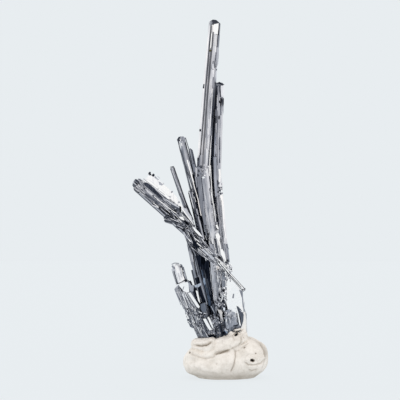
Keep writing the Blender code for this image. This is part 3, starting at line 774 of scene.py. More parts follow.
rightCrystal = {
    "upper": {
        "foot": (7.0, 1.6, 83.0), "tip": (8.0, 1.3, 124.2), "width": (3.6, 3.9), "depth": (3.8, 3.4),
        "ridge": 0.55, "ledges": 0, "relief": 0.01,
        "bands": (
            (0.00, ((84, 0.56), (118, 0.56), (124, 0.50))),
            (0.12, ((84, 0.70), (112, 0.76), (117, 0.74), (121, 0.72))),
            (0.40, ((84, 0.64), (112, 0.68), (116, 0.60), (119, 0.60), (122, 0.56))),
            (0.52, ((84, 0.64), (95, 0.76), (112, 0.68), (120, 0.60))),
            (0.66, ((84, 0.70), (110, 0.70), (116, 0.62), (118, 0.36), (119.4, 0.40), (120.2, 0.92),
                    (124, 0.95))),
            (0.86, ((84, 0.72), (110, 0.76), (116, 0.42), (119.4, 0.44), (120.2, 0.92), (124, 0.95))),
        ),
        "caps": ((275, 28, 1.2, 0.36), (350, 14, 0.4, 0.30), (100, 20, 0.2, 0.5)),
    },
    "lower": {
        "foot": (12.9, 2.6, 22), "tip": (7.1, 1.6, 86.0), "width": (3.7, 3.3), "depth": (3.8, 3.4),
        "ridge": 0.5, "ledges": 3, "relief": 0.01,
        "bands": (
            (0.00, 0.60),
            (0.10, ((44, 0.74), (60, 0.70), (72, 0.66), (80, 0.62))),
            (0.34, ((44, 0.74), (60, 0.72), (72, 0.66), (80, 0.62))),
            (0.50, ((44, 0.72), (60, 0.72), (72, 0.68), (80, 0.64))),
            (0.62, ((44, 0.76), (54, 0.84), (60, 0.94), (72, 0.95), (80, 0.90))),
            (0.74, ((44, 0.66), (53, 0.68), (58, 0.86), (66, 0.90), (74, 0.92), (80, 0.90))),
        ),
        "caps": ((215, 12, 0.0, 1.1), (40, 34, 0.2, 0.6)),
    },
    "facets": (
        # two dark sheets: painted shade in the gap behind the tall crystal
        (((5.7, 123.0), (6.4, 123.0), (6.3, 116.4), (5.9, 110.9), (5.7, 103.8), (5.45, 93.0), (4.7, 93.0),
          (4.8, 103.8), (5.2, 112.2)), 0.16, 0.5, 1.3, 1.2),
        (((4.7, 93.3), (5.45, 93.3), (5.5, 83.7), (5.95, 72.4), (7.2, 63.0), (6.8, 62.0), (5.4, 72.4),
          (4.7, 83.7)), 0.14, 0.5, 1.3, 1.2),
        # a pale sheet laid over the shadow that the tall crystal's knee casts here: painted light
        (((5.65, 92.5), (6.9, 92.5), (7.0, 84.0), (7.2, 76.0), (6.4, 76.0), (5.85, 84.0)), 0.68, 0.2, -1.2),
        (((6.5, 123.2), (8.1, 123.9), (10.2, 122.8), (9.6, 122.4), (8.0, 123.0)), 0.22, 0.1, -1.3),
        (((8.8, 122.3), (10.0, 122.2), (10.0, 117.7), (9.0, 117.5), (8.8, 118.6)), 0.94, 0.1, -0.9),
        (((9.2, 116.4), (9.6, 117.0), (10.0, 117.1), (9.95, 114.6), (9.55, 113.4), (9.25, 114.6)),
         0.26, 0.1, -1.1),
        (((9.4, 113.8), (9.9, 114.6), (9.8, 110.0)), 0.66, 0.1, -1.0),
        (((7.7, 87.4), (8.6, 87.4), (8.7, 84.5), (8.5, 82.0), (7.8, 82.0), (8.0, 84.9)), 1.15, 0.0, -1.3),
    ),
    "splinters": (
        (((8.2, 122.3), (8.35, 117.6)), (0.5, 0.15), 0.22, 0.2, -0.9),
        (((8.1, 116.1), (8.15, 115.0)), 0.5, 0.05, 0.0, -1.3),
        (((8.0, 109.7), (7.95, 108.3)), 0.6, 0.03, 0.0, -1.6),
        (((9.2, 74.4), (9.9, 64.4), (10.7, 58.5)), 0.6, 1.0, 0.0, -0.7),
        (((7.5, 121.6), (7.7, 116.5)), 0.35, 0.68, 0.0, -0.9),
        (((11.3, 56.0), (11.8, 51.5), (12.2, 48.0)), 0.8, 0.70, 0.2, -0.5),
        (((11.1, 56.0), (11.9, 53.8)), 0.4, 0.34, 0.2, -0.9),
        (((7.4, 112.0), (7.3, 89.0)), 0.3, 0.54, 0.1, -0.7),
        (((7.9, 76.0), (8.6, 68.0), (9.4, 58.0)), 0.3, 0.52, 0.2, -0.6),
    ),
    "fibres": (
        (((6.6, 78.0), (8.4, 78.0), (9.2, 52.0), (11.0, 52.0)), 40, 0.2, 0.68, 0.10, -0.9, (0.1, 0.4)),
        (((6.2, 114.0), (8.6, 114.0), (6.2, 90.0), (8.8, 90.0)), 20, 0.18, 0.78, 0.07, -0.8, (0.1, 0.4)),
    ),
    # crumbs where its lengths meet: how many, and from and to across and up
    "crumbs": (22, (7.4, 9.6), (76.6, 81.8)),
    "crumbLevels": (0.4, 0.6, 0.75, 0.85, 1.0),
    # crumbs on a slope near the bundle's end: how many, from and to, height at its start, fall for each mm
    "slope": (14, 11.4, 13.6, 48.6, 1.4),
    "slopeLevels": (0.2, 0.6, 0.9, 1.0),
}


def makeRightCrystal():
    rng = random.Random(23)
    things = grown("right", rightCrystal)
    count, across, upwards = rightCrystal["crumbs"]
    for index in range(count):
        x, z = rng.uniform(*across), rng.uniform(*upwards)
        things.append(chip(inView(x, z, -0.7 + rng.uniform(0, 0.8)), rng.uniform(0.4, 0.9),
                           rng.choice(rightCrystal["crumbLevels"]), rng, 0.12))
    things.append(chip(inView(7.5, 82.3, -1.0), 0.6, 0.06, rng, 0.05))
    count, least, most, height, fall = rightCrystal["slope"]
    for index in range(count):
        x = rng.uniform(least, most)
        z = height - (x - least) * fall + rng.uniform(-1.4, 1.0)
        things.append(chip(inView(x, z, -1.0), rng.uniform(0.5, 1.0),
                           rng.choice(rightCrystal["slopeLevels"]), rng))
    finished(joined("rightCrystal", things), greyStibnite, "stibnite_grey", "right_crystal")


leftBlade = {
    "Main": {
        "foot": (7.4, 5.2, 38), "tip": (-8.3, -1.2, 101.4), "width": (4.0, 3.3), "depth": (3.0, 2.6),
        "ridge": 0.42,
        "bands": (
            (0.00, ((60, 0.40), (84, 0.43), (92, 0.46), (97, 0.32))),
            (0.14, ((60, 0.40), (84, 0.46), (92, 0.42), (95, 0.34), (97, 0.88))),
            (0.28, ((60, 0.80), (80, 0.92), (90, 0.95), (91.5, 0.50), (95, 0.46), (98, 0.70))),
            (0.42, ((70, 0.20), (80, 0.66), (88, 0.76), (96, 0.68))),
            (0.58, ((70, 0.20), (80, 0.50), (88, 0.68), (96, 0.68))),
            (0.74, ((70, 0.14), (80, 0.20), (84, 0.40), (90, 0.50), (96, 0.56), (99, 0.50))),
            (0.88, ((70, 0.10), (80, 0.16), (84, 0.34), (90, 0.40), (96, 0.36))),
        ),
        "caps": ((195, 40, 1.0, 0.36), (350, 10, 0.0, 0.55), (280, 30, 1.4, 0.6)),
    },
    "Side": {
        "foot": (3.1, 3.6, 62), "tip": (-7.2, -0.6, 95.0), "width": (2.1, 1.9), "depth": (2.0, 1.8),
        "bands": ((0.0, 0.36), (0.3, 0.44), (0.55, 0.5), (0.8, 0.34)),
        "caps": ((205, 46, 0.0, 0.4), (40, 34, 0.2, 0.5)),
    },
    "Spike": {
        "foot": (2.2, 3.0, 66), "tip": (-4.2, 0.4, 96.4), "width": (2.3, 1.8), "depth": (1.9, 1.6),
        "bands": ((0.0, ((84, 0.40), (96, 0.55))), (0.3, ((84, 0.45), (96, 0.66))),
                  (0.6, ((84, 0.35), (96, 0.45)))),
        "caps": ((270, 44, 0.0, 0.5), (20, 50, 0.3, 0.3), (170, 40, 0.2, 0.6)),
    },
    "splinters": (
        (((-9.3, 99.9), (-8.2, 94.7), (-6.7, 91.2), (-4.7, 84.5), (-2.9, 79.0), (-2.2, 76.6)),
         0.4, 0.34, -0.1, -1.5),
        (((-7.0, 93.7), (-5.6, 88.9), (-4.2, 84.4)), 0.3, 0.6, 0.1, -1.7),
        (((-5.4, 91.2), (-4.1, 86.6), (-2.7, 81.8)), (0.8, 0.8), 1.15, 0.0, -2.3),
        (((-4.6, 90.6), (-3.2, 85.4)), 0.5, 0.84, 0.1, -2.1),
        (((-2.9, 82.0), (-1.45, 77.0), (-0.7, 74.3), (-0.2, 71.2), (0.5, 67.9)), 0.5, 0.98, -0.3, -3.0),
        (((-3.5, 87.4), (-3.2, 84.5), (-2.4, 81.8)), 0.3, 0.80, 0.1, -2.0),
        (((-6.1, 100.6), (-4.5, 95.3)), 0.4, 0.34, 0.1, -1.2),
        (((-8.4, 100.1), (-7.95, 98.8), (-7.5, 97.1)), 0.45, 1.15, 0.0, -2.2),
    ),
    "facets": (
        (((-9.65, 99.7), (-9.05, 100.8), (-8.2, 101.1), (-8.3, 100.2), (-8.7, 99.2), (-8.7, 97.7),
          (-9.2, 98.5)), 0.26, 0.0, -2.0, 0.9),
        (((-8.2, 101.1), (-6.9, 101.1), (-6.2, 100.4), (-6.1, 98.8), (-7.1, 97.9), (-8.0, 99.4)),
         0.62, 0.1, -1.9, 0.9),
        (((-2.5, 86.6), (-1.9, 85.6), (-1.0, 80.4), (-0.6, 76.0), (-1.9, 80.8)), 0.24, 0.35, -0.9),
        (((-3.4, 90.2), (-2.3, 89.4), (-1.7, 85.6), (-2.5, 84.8)), 0.54, 0.25, -0.9),
        (((-2.2, 84.4), (-1.5, 84.0), (-0.9, 80.0), (-1.4, 79.6)), 0.62, 0.1, -1.4),
    ),
}

leftNeedle = {
    "Main": {
        "foot": (-2.1, -1.8, 60), "tip": (-11.7, -1.6, 88.7), "width": (2.3, 1.65), "depth": (2.0, 1.5),
        "strip": 0.4, "ledges": 2,
        "bands": ((0.0, 0.56), (0.24, ((64, 0.55), (76, 0.64), (84, 0.60), (87, 0.80))),
                  (0.50, ((64, 0.70), (76, 0.66), (87, 0.66))),
                  (0.70, ((64, 0.40), (80, 0.46), (87, 0.60)))),
        "caps": ((200, 36, 0.2, 0.42), (20, 40, 0.2, 0.62), (275, 24, 0.4, 0.5)),
    },
    "splinters": (
        (((-12.4, 87.7), (-8.6, 76.4), (-4.2, 69.0)), 0.35, 0.36, 0.0, -2.9),
        (((-10.9, 87.3), (-6.9, 76.4), (-2.8, 66.0)), 0.35, 0.28, 0.1, -2.7),
        (((-11.7, 87.0), (-8.0, 77.4)), 0.35, 0.82, 0.0, -2.9),
        (((-12.5, 88.2), (-10.9, 88.6)), 0.35, 0.32, 0.0, -2.9),
    ),
}

shortCrystal = {
    "Main": {
        "foot": (1.0, -2.4, 58), "tip": (-3.8, -2.2, 78.4), "width": (3.0, 2.7), "depth": (2.2, 2.0),
        "bands": ((0.0, 0.5), (0.2, ((64, 0.6), (74, 0.80))), (0.4, ((64, 0.3), (74, 0.44))), (0.6, 0.7),
                  (0.8, 0.2)),
        "caps": ((205, 20, 0.0, 0.60), (60, 34, 0.2, 0.2)),
    },
    "splinters": (
        (((-4.9, 78.2), (-2.4, 77.9)), 0.35, 0.2, 0.0, -3.7),
        (((-4.4, 77.9), (-2.2, 69.6)), 0.5, 0.78, 0.0, -3.7),
        (((-2.6, 77.2), (-1.2, 70.8)), 0.7, 0.16, 0.2, -3.6),
        (((-3.3, 77.4), (-2.8, 75.2)), 0.5, 0.80, 0.0, -3.7),
        (((-2.4, 75.8), (-1.7, 73.6)), 0.3, 0.9, 0.0, -3.9),
    ),
}

leftColumn = {
    "Main": {
        "foot": (4.2, -1.6, 22), "tip": (-4.2, -1.2, 61.5), "width": (3.4, 3.0), "depth": (3.2, 3.2),
        "ridge": 0.35,
        "bands": ((0.0, 0.50), (0.16, ((40, 0.56), (50, 0.66), (58, 0.50))),
                  (0.40, ((40, 0.56), (50, 0.36))), (0.62, ((36, 0.36), (50, 0.16))), (0.8, 0.12)),
        "caps": ((205, 26, 0.0, 0.5), (40, 34, 0.2, 0.4)),
    },
    "Left": {
        "foot": (1.4, -1.9, 30), "tip": (-4.9, -1.4, 58), "width": (2.0, 1.8), "depth": (2.4, 2.4),
        "bands": ((0.0, 0.62), (0.3, 0.40), (0.6, 0.55)),
        "caps": ((205, 30, 0.0, 0.5), (40, 34, 0.2, 0.4)),
    },
    "Step": {
        "foot": (1.6, -2.4, 26), "tip": (-2.8, -2.2, 45.6), "width": (2.1, 2.0), "depth": (2.2, 2.2),
        "bands": ((0.0, 0.36), (0.35, 0.55), (0.7, 0.44)),
        "caps": ((205, 14, 0.0, 0.7), (40, 20, 0.2, 0.5)),
    },
    "facets": (
        (((-2.9, 53.8), (-2.1, 53.4), (-0.6, 51.7), (-1.9, 51.9), (-2.8, 52.6)), 1.15, 0.0, -3.6),
        (((-3.8, 56.6), (-1.0, 57.0), (0.4, 54.2), (-0.4, 52.4), (-2.6, 54.0)), 0.36, 0.3, -3.3),
        # near-black sheets here and below: painted shade in the gaps around the column
        (((-2.2, 51.8), (0.4, 52.4), (3.4, 51.0), (3.9, 46.0), (1.8, 45.0), (-0.4, 46.8)), 0.10, 0.4, -2.9),
        (((-2.9, 38.5), (-1.3, 38.9), (0.3, 39.6), (0.5, 38.8), (-0.6, 37.8), (-2.3, 37.7)),
         0.80, 0.5, -4.0),
        (((-2.2, 41.6), (-0.9, 42.0), (0.0, 39.4), (-1.4, 38.8)), 0.10, 0.2, -3.9),
        (((-1.0, 37.6), (0.3, 38.2), (1.3, 35.0), (2.6, 31.4), (1.2, 31.0), (0.0, 34.0)), 0.10, 0.2, -4.0),
    ),
    "splinters": (
        (((-5.0, 56.0), (-3.1, 47.2)), 1.1, 0.62, 0.0, -3.4),
        (((-4.1, 55.4), (-2.2, 44.4)), 0.95, 0.78, 0.0, -3.5),
        (((-3.2, 48.4), (-1.6, 41.0)), 1.1, 0.60, 0.1, -3.7),
        (((-5.3, 57.4), (-4.6, 53.0)), 0.5, 0.30, 0.0, -3.5),
        (((-2.4, 51.2), (-0.4, 43.0)), 0.35, 0.25, 0.3, -3.6),
        (((2.3, 50.6), (2.5, 49.0)), 0.45, 0.92, 0.2, -3.8),
    ),
}

backBlade = {
    "Main": {
        "foot": (5.4, 4.4, 22), "tip": (-1.2, 3.4, 49.0), "width": (4.8, 4.4), "depth": (2.2, 2.2),
        "ridge": 0.4,
        "bands": ((0.0, 0.22), (0.3, ((30, 0.22), (42, 0.38))), (0.55, 0.18), (0.8, 0.1)),
        "caps": ((355, 30, 0.5, 0.3), (170, 14, 0.0, 0.3)),
    },
    "Thin": {
        "foot": (3.8, 2.2, 26), "tip": (0.2, 0.6, 40.6), "width": (1.0, 0.8), "depth": (1.2, 1.0),
        "bands": ((0.0, 0.72), (0.5, 0.40)),
        "caps": ((270, 44, 0.0, 0.6),),
    },
    "facets": (
        # a dark sheet across the hollow between the crystals: painted shade
        (((-4.6, 57.0), (4.6, 54.0), (5.6, 33.0), (8.0, 25.0), (2.0, 22.0), (-1.8, 34.0), (-3.0, 46.0)),
         0.24, 0.5, -1.4),
        (((-0.1, 45.7), (0.8, 45.1), (2.3, 40.9), (3.6, 35.9), (4.9, 30.0), (3.4, 30.0), (1.7, 36.3),
          (0.6, 40.5)), 0.34, 1.0, -2.2),
        (((1.4, 41.8), (2.0, 41.6), (2.4, 39.4), (1.9, 38.7), (1.3, 40.2)), 0.66, 0.8, -2.8),
        # near-black sheets: painted shade in the gaps
        (((-1.9, 38.2), (0.1, 38.8), (1.05, 35.5), (2.7, 30.7), (1.5, 30.5), (-0.2, 33.8)),
         0.10, 0.2, -2.6),
        (((2.1, 49.9), (3.7, 48.5), (4.3, 40.9), (5.6, 34.2), (5.5, 30.8), (4.2, 33.4), (2.9, 39.3),
          (1.9, 44.3)), 0.08, 0.2, -2.5),
        (((0.2, 51.4), (1.9, 51.0), (2.3, 48.5), (1.4, 46.8), (0.4, 48.5)), 0.02, 0.0, -3.2),
    ),
    "splinters": (
        (((0.2, 40.8), (3.0, 30.6)), 0.42, 0.68, 0.2, -3.0),
        (((3.0, 41.4), (4.2, 36.4)), 0.35, 0.36, 0.2, -2.9),
        (((0.8, 43.8), (3.6, 33.0)), 0.3, 0.52, 1.0, -2.7),
        (((-1.5, 50.6), (0.2, 45.0)), 0.9, 0.30, 0.8, -2.4),
    ),
    "fibres": (
        (((-2.2, 51.0), (3.0, 50.0), (1.8, 31.0), (5.2, 31.0)), 40, 0.24, 0.23, 0.16, -2.8, (0.1, 0.4)),
    ),
}

lowerLeft = {
    "Stub": {
        "foot": (-6.6, -3.6, 36), "tip": (-10.2, -3.4, 48.4), "width": (5.2, 4.9), "depth": (4.2, 4.0),
        "ridge": 0.52, "ledges": 2, "relief": 0.02, "ripple": 0.01, "vary": 0.02,
        "bands": (
            (0.00, ((38, 0.92), (42, 0.96), (46, 0.78))),
            (0.12, ((38, 0.97), (44, 0.98), (46, 0.80))),
            (0.34, ((38, 0.97), (44, 0.99), (47, 0.95))),
            (0.62, ((38, 0.94), (43.5, 0.96), (44.6, 0.86), (47, 0.70))),
            (0.84, ((38, 0.80), (43, 0.70), (46, 0.55))),
        ),
        "caps": ((186, 36, 0.5, 0.78), (100, 30, 0.0, 0.5), (345, 30, 0.7, 0.56), (275, 26, 0.1, 0.66)),
    },
    "Wide": {
        "foot": (5.2, -3.2, 12), "tip": (-7.5, -3.4, 40.2), "width": (7.0, 7.2), "depth": (5.4, 5.4),
        "ridge": 0.52, "relief": 0.03, "ledges": 14,
        "bands": (
            (0.00, ((24, 0.46), (38, 0.62))),
            (0.16, ((24, 0.50), (33, 0.60), (36, 0.66))),
            (0.34, ((24, 0.50), (33, 0.56), (36, 0.60))),
            (0.50, ((24, 0.48), (30, 0.52), (36, 0.60))),
            (0.68, ((24, 0.40), (33, 0.50), (38, 0.55))),
            (0.84, ((24, 0.40), (38, 0.50))),
        ),
        "caps": ((200, 10, 0.3, 0.66), (20, 14, 0.0, 0.6)),
    },
    "Sliver": {
        "foot": (3.6, -4.2, 16), "tip": (-3.6, -4.4, 39.6), "width": (2.2, 2.0), "depth": (2.4, 2.4),
        "ridge": 0.45,
        "bands": ((0.0, ((30, 0.46), (32, 0.16))), (0.3, ((30, 0.52), (32, 0.22))),
                  (0.62, ((30, 0.48), (32, 0.12))), (0.82, 0.12)),
        "caps": ((355, 30, 0.5, 0.3), (170, 14, 0.0, 0.2)),
    },
    "Thin": {
        "foot": (4.0, -3.4, 18), "tip": (-1.6, -3.6, 36.4), "width": (1.8, 1.5), "depth": (2.0, 2.0),
        "bands": ((0.0, ((29, 0.5), (31, 0.2))), (0.35, ((29, 0.56), (31, 0.2))), (0.75, 0.14)),
        "caps": ((270, 44, 0.0, 0.8), (95, 38, 0.0, 0.5)),
    },
    "Chunk": {
        "foot": (4.2, -3.9, 19), "tip": (1.2, -4.2, 31.6), "width": (2.6, 2.4), "depth": (2.2, 2.2),
        "ridge": 0.5, "ledges": 0, "bands": ((0.0, 0.50), (0.25, 0.54), (0.8, 0.42)),
        "caps": ((205, 16, 0.0, 0.62), (40, 24, 0.2, 0.5)),
    },
    "Front": {
        "foot": (5.2, -4.6, 14), "tip": (2.0, -5.2, 25.6), "width": (3.6, 3.4), "depth": (2.4, 2.2),
        "ridge": 0.5, "ledges": 2,
        "bands": ((0.0, 0.46), (0.2, 0.52), (0.46, 0.40), (0.62, 0.50), (0.85, 0.4)),
        "caps": ((190, 38, 0.6, 0.5), (285, 25, 0.2, 0.62)),
    },
    "facets": (
        (((-8.4, 47.6), (-7.5, 47.3), (-6.7, 45.1), (-7.1, 44.7), (-7.8, 46.2)), 0.46, 0.1, -5.7),
        (((-9.0, 38.9), (-6.9, 39.7), (-5.3, 40.0), (-4.9, 39.5), (-4.5, 35.9), (-5.6, 35.5), (-6.9, 36.2),
          (-8.5, 38.1)), 1.15, 0.0, -6.4),
        (((-5.6, 40.1), (-4.2, 40.3), (-2.8, 38.4), (-2.7, 36.1), (-3.8, 35.3), (-4.8, 37.6)),
         0.56, 0.2, -6.2),
        (((-5.1, 35.3), (-4.0, 35.6), (-0.1, 29.6), (-0.5, 28.9), (-1.4, 29.5)), 1.1, 0.0, -6.7),
        (((-4.9, 39.3), (-4.2, 39.9), (-2.6, 38.0), (-2.9, 36.0), (-4.3, 36.4)), 0.66, 0.1, -6.3),
        (((-1.8, 36.4), (-1.0, 36.2), (-0.3, 33.2), (0.1, 31.0), (-0.75, 32.1)), 1.15, 0.0, -6.3),
        (((0.2, 30.6), (1.9, 31.3), (2.8, 29.0), (2.3, 27.3), (1.3, 26.9), (0.3, 28.5)), 0.50, 0.35, -6.8),
        (((1.2, 24.4), (2.4, 24.6), (3.8, 22.1), (5.0, 19.8), (4.0, 19.6), (2.7, 21.5)), 1.15, 0.0, -7.0),
        (((3.1, 25.2), (3.8, 25.3), (4.9, 22.9), (5.7, 20.7), (5.2, 20.6), (3.9, 23.1)), 1.15, 0.0, -6.9),
        (((-5.9, 26.3), (-5.4, 26.9), (-4.6, 24.6), (-5.0, 24.3)), 1.15, 0.0, -6.0),
        (((-10.8, 36.9), (-9.2, 38.6), (-8.9, 36.2), (-6.4, 29.6), (-8.2, 30.4)), 0.66, 0.1, -5.9),
    ),
    "fibres": (
        (((-10.2, 38.2), (-5.2, 35.4), (-6.6, 28.0), (-1.4, 28.8)), 60, 0.30, 0.64, 0.32, -6.8, (0.3, 0.9)),
        (((-10.6, 37.0), (-8.6, 38.2), (-7.4, 29.6), (-5.2, 30.2)), 40, 0.26, 0.66, 0.30, -6.6, (0.3, 0.9)),
        (((-3.6, 30.0), (-0.2, 28.0), (-0.6, 18.4), (2.6, 17.4)), 60, 0.30, 0.62, 0.36, -7.1, (0.2, 0.6)),
        (((-6.6, 29.2), (-3.0, 28.6), (-3.2, 21.6), (-0.2, 20.0)), 60, 0.30, 0.64, 0.36, -7.0, (0.2, 0.6)),
        (((-3.8, 23.4), (-1.8, 23.0), (-0.6, 17.4), (1.6, 17.4)), 40, 0.26, 0.48, 0.34, -6.6, (0.2, 0.7)),
        (((-9.9, 47.0), (-7.6, 46.6), (-8.2, 40.2), (-5.9, 41.0)), 12, 0.24, 0.90, 0.10, -5.9, (0.2, 0.5)),
    ),
    "splinters": (
        (((-11.9, 47.4), (-10.7, 48.0), (-8.8, 47.8)), 0.4, 0.58, 0.0, -5.6),
        (((-11.7, 46.9), (-10.7, 45.4)), 0.8, 0.60, 0.1, -5.6),
        (((-8.0, 46.9), (-7.2, 45.0)), 0.4, 0.24, 0.1, -5.9),
        (((-7.2, 46.2), (-5.7, 40.9)), 0.8, 0.66, 0.1, -5.4),
        (((-11.5, 44.4), (-9.9, 39.3)), 0.26, 0.44, 0.0, -5.6),
        (((-9.2, 43.6), (-8.4, 40.6)), 0.5, 0.86, 0.0, -5.9),
        (((-9.9, 39.1), (-8.4, 39.6), (-5.7, 41.0), (-3.4, 39.6)), 0.35, 0.18, 0.1, -6.1),
        (((-6.7, 38.1), (-7.2, 36.8)), 0.35, 0.5, 0.0, -6.7),
        (((-4.3, 40.4), (-3.4, 38.7)), 0.7, 0.12, 0.2, -6.5),
        (((-10.2, 36.4), (-6.6, 28.6)), 0.6, 0.55, 0.1, -6.1),
        (((-9.5, 36.6), (-5.6, 29.6)), 0.4, 0.22, 0.1, -6.2),
        (((-8.9, 36.0), (-4.9, 28.2)), 0.6, 0.62, 0.1, -6.3),
        (((-8.2, 35.6), (-3.6, 27.9)), 0.6, 0.48, 0.1, -6.4),
        (((-7.2, 35.2), (-2.6, 28.3)), 0.7, 0.60, 0.1, -6.5),
        (((-6.4, 34.8), (-4.8, 31.8)), 0.45, 0.76, 0.0, -6.7),
        (((-5.8, 34.6), (-1.7, 28.4)), 0.6, 0.36, 0.1, -6.5),
        (((-6.3, 30.2), (-3.7, 27.0)), 0.8, 0.88, 0.0, -6.6),
        (((-4.0, 27.6), (-0.4, 27.3), (1.6, 25.4), (4.0, 25.0)), 0.5, 0.38, 0.1, -6.9),
        (((0.2, 27.2), (3.0, 26.6)), 0.5, 0.88, 0.0, -7.3),
        (((-0.6, 27.6), (1.4, 26.4)), 0.6, 0.95, 0.0, -7.2),
        (((-0.9, 24.4), (1.4, 21.8)), 0.3, 0.82, 0.0, -6.9),
        (((1.3, 20.2), (3.5, 16.6)), 0.5, 0.76, 0.0, -6.9),
        (((-2.2, 25.0), (1.8, 18.2)), 0.7, 0.42, 0.1, -6.6),
        (((-3.4, 24.4), (0.4, 18.4)), 0.6, 0.24, 0.1, -6.5),
        (((0.4, 24.6), (3.4, 19.2)), 0.6, 0.40, 0.1, -6.7),
        (((-6.2, 28.8), (-4.4, 23.4), (-3.0, 20.6)), 0.9, 0.52, 0.1, -5.6),
        (((-5.3, 24.4), (-3.7, 21.0)), 0.7, 0.44, 0.1, -5.9),
        (((-6.1, 27.2), (-4.7, 23.8)), 0.5, 0.34, 0.1, -5.7),
        (((-4.4, 26.6), (-5.7, 25.2)), 0.45, 0.40, 0.1, -5.8),
        (((-3.6, 24.4), (-5.2, 22.9)), 0.45, 0.66, 0.1, -5.9),
        (((-2.8, 22.6), (-4.3, 21.4)), 0.5, 0.34, 0.1, -5.8),
        (((-5.0, 23.6), (-4.0, 22.4)), 0.35, 1.1, 0.0, -6.2),
        (((-3.0, 23.8), (1.0, 17.2)), 0.35, 0.86, 0.0, -6.9),
        (((-4.2, 27.2), (-2.0, 22.4)), 0.30, 0.90, 0.0, -7.1),
    ),
}

broadCrystal = {
    "Main": {
        "foot": (15.2, -2.6, 10), "tip": (14.5, -2.8, 42.2), "width": (8.6, 7.6), "depth": (6.2, 5.6),
        "ridge": 0.6, "relief": 0.015, "ledges": 8,
        "bands": (
            (0.00, ((24, 0.40), (30, 0.60), (34, 0.82), (39, 0.62))),
            (0.10, ((27, 0.45), (28.5, 0.82), (31, 0.98), (40, 0.97))),
            (0.34, ((27, 0.45), (28.5, 0.50), (30, 0.98), (40, 0.99))),
            (0.58, ((27, 0.50), (29, 0.98), (40, 0.99))),
            (0.84, ((20, 0.80), (24, 0.44), (29, 0.46), (30, 0.98), (36, 0.97))),
            (0.95, ((20, 0.86), (30, 0.80), (34, 0.62))),
        ),
        "caps": ((0, 42, 3.2, 0.6), (355, 70, 0.0, 0.6), (275, 30, 2.4, 0.96)),
    },
    "Face": {
        "foot": (13.4, -4.6, 12), "tip": (12.9, -5.2, 29.8), "width": (5.2, 4.6), "depth": (2.8, 2.6),
        "ridge": 0.4, "ledges": 5,
        "bands": ((0.0, ((18, 0.3), (24, 0.46))), (0.25, 0.50), (0.55, 0.48), (0.8, 0.44)),
        "caps": ((355, 30, 0.5, 0.55), (170, 14, 0.0, 0.5), (265, 20, 0.1, 0.6)),
    },
    "Edge": {
        "foot": (18.4, -3.2, 10), "tip": (17.3, -3.2, 31.4), "width": (2.6, 2.2), "depth": (3.4, 3.2),
        "ridge": 0.5, "ledges": 2,
        "bands": ((0.0, ((18, 0.9), (24, 0.40), (29, 0.44))), (0.35, ((18, 0.95), (28, 0.97))),
                  (0.8, 0.78)),
        "caps": ((0, 55, 0.0, 0.5),),
    },
    "facets": (
        (((11.8, 41.5), (16.4, 36.8), (17.8, 32.6), (18.2, 27.4), (14.4, 26.6), (11.9, 27.8), (11.1, 31.0),
          (11.2, 36.0), (11.2, 39.4)), 1.15, 0.0, -6.6),
        (((16.5, 36.6), (17.9, 36.3), (18.1, 32.6), (18.5, 28.8), (17.9, 29.6), (17.6, 33.4), (17.0, 35.1)),
         0.60, 0.1, -6.7),
        (((13.5, 33.2), (13.85, 35.0), (14.4, 35.0), (14.2, 33.1)), 0.52, 0.0, -6.9),
        (((10.8, 28.0), (12.0, 28.5), (13.2, 27.6), (14.6, 27.3), (15.3, 25.0), (15.8, 22.3), (14.2, 21.4),
          (11.3, 20.0), (10.6, 23.3)), 0.66, 0.12, -6.9),
        (((15.3, 29.9), (16.1, 29.6), (17.5, 28.0), (17.5, 26.9), (18.4, 26.3), (18.2, 23.6), (17.6, 21.6),
          (16.9, 25.4), (15.9, 27.3)), 0.42, 0.2, -7.0),
        (((18.2, 27.3), (19.1, 27.5), (19.6, 23.3), (19.6, 17.2), (16.0, 17.2), (17.6, 21.6), (18.3, 24.0)),
         0.97, -0.4, -6.6),
        (((14.8, 18.2), (15.5, 18.2), (15.3, 17.2), (14.7, 17.2)), 0.08, 0.0, -7.3),
    ),
    "splinters": (
        (((15.1, 29.3), (15.9, 26.8), (16.9, 21.6)), 0.9, 1.1, 0.0, -7.2),
        (((13.4, 19.6), (14.9, 18.9), (16.1, 19.0), (17.2, 19.7)), 0.35, 0.34, 0.0, -7.4),
        (((14.0, 21.5), (15.9, 21.8)), 0.5, 0.18, 0.1, -7.2),
        (((18.4, 29.0), (19.4, 26.6), (19.7, 17.0)), 0.3, 0.55, 0.1, -6.5),
        (((16.8, 28.1), (17.6, 27.5)), 0.4, 0.9, 0.0, -7.3),
        (((11.7, 27.2), (12.0, 22.0)), 0.5, 0.46, 0.2, -7.2),
        (((13.2, 26.6), (13.6, 22.6)), 0.4, 0.52, 0.2, -7.2),
    ),
    "fibres": (
        (((10.9, 28.2), (15.6, 27.0), (10.9, 20.6), (15.6, 22.0)),
         56, 0.34, 0.72, 0.15, -7.3, (0.08, 0.35)),
        (((11.4, 40.0), (16.0, 37.0), (10.6, 29.0), (17.6, 29.0)), 24, 0.2, 1.0, 0.10, -7.0, (0.05, 0.2)),
    ),
}

rightNeedle = {
    "Main": {
        "foot": (6.0, -5.4, 50.4), "tip": (18.6, -6.8, 36.9), "width": (1.3, 1.3), "depth": (1.2, 1.2),
        "strip": 0.5, "step": 2.5, "ledges": 0, "relief": 0.02,
        "bands": ((0.0, 0.3), (0.2, 0.98), (0.6, 0.90), (0.86, 0.3)),
        "caps": ((262, 24, 0.0, 0.42), (100, 28, 0.1, 0.5)),
    },
    "splinters": (
        (((7.6, 48.6), (11.9, 43.6), (18.1, 36.9)), 0.34, 0.22, 0.1, -7.2),
        (((12.2, 44.3), (18.6, 37.4)), 0.26, 0.36, 0.1, -7.2),
        (((8.4, 48.2), (12.6, 43.4), (18.1, 37.4)), 0.5, 1.15, 0.0, -7.7),
        (((17.6, 36.9), (18.5, 36.8), (19.0, 37.4)), 0.4, 0.24, 0.0, -7.5),
    ),
}

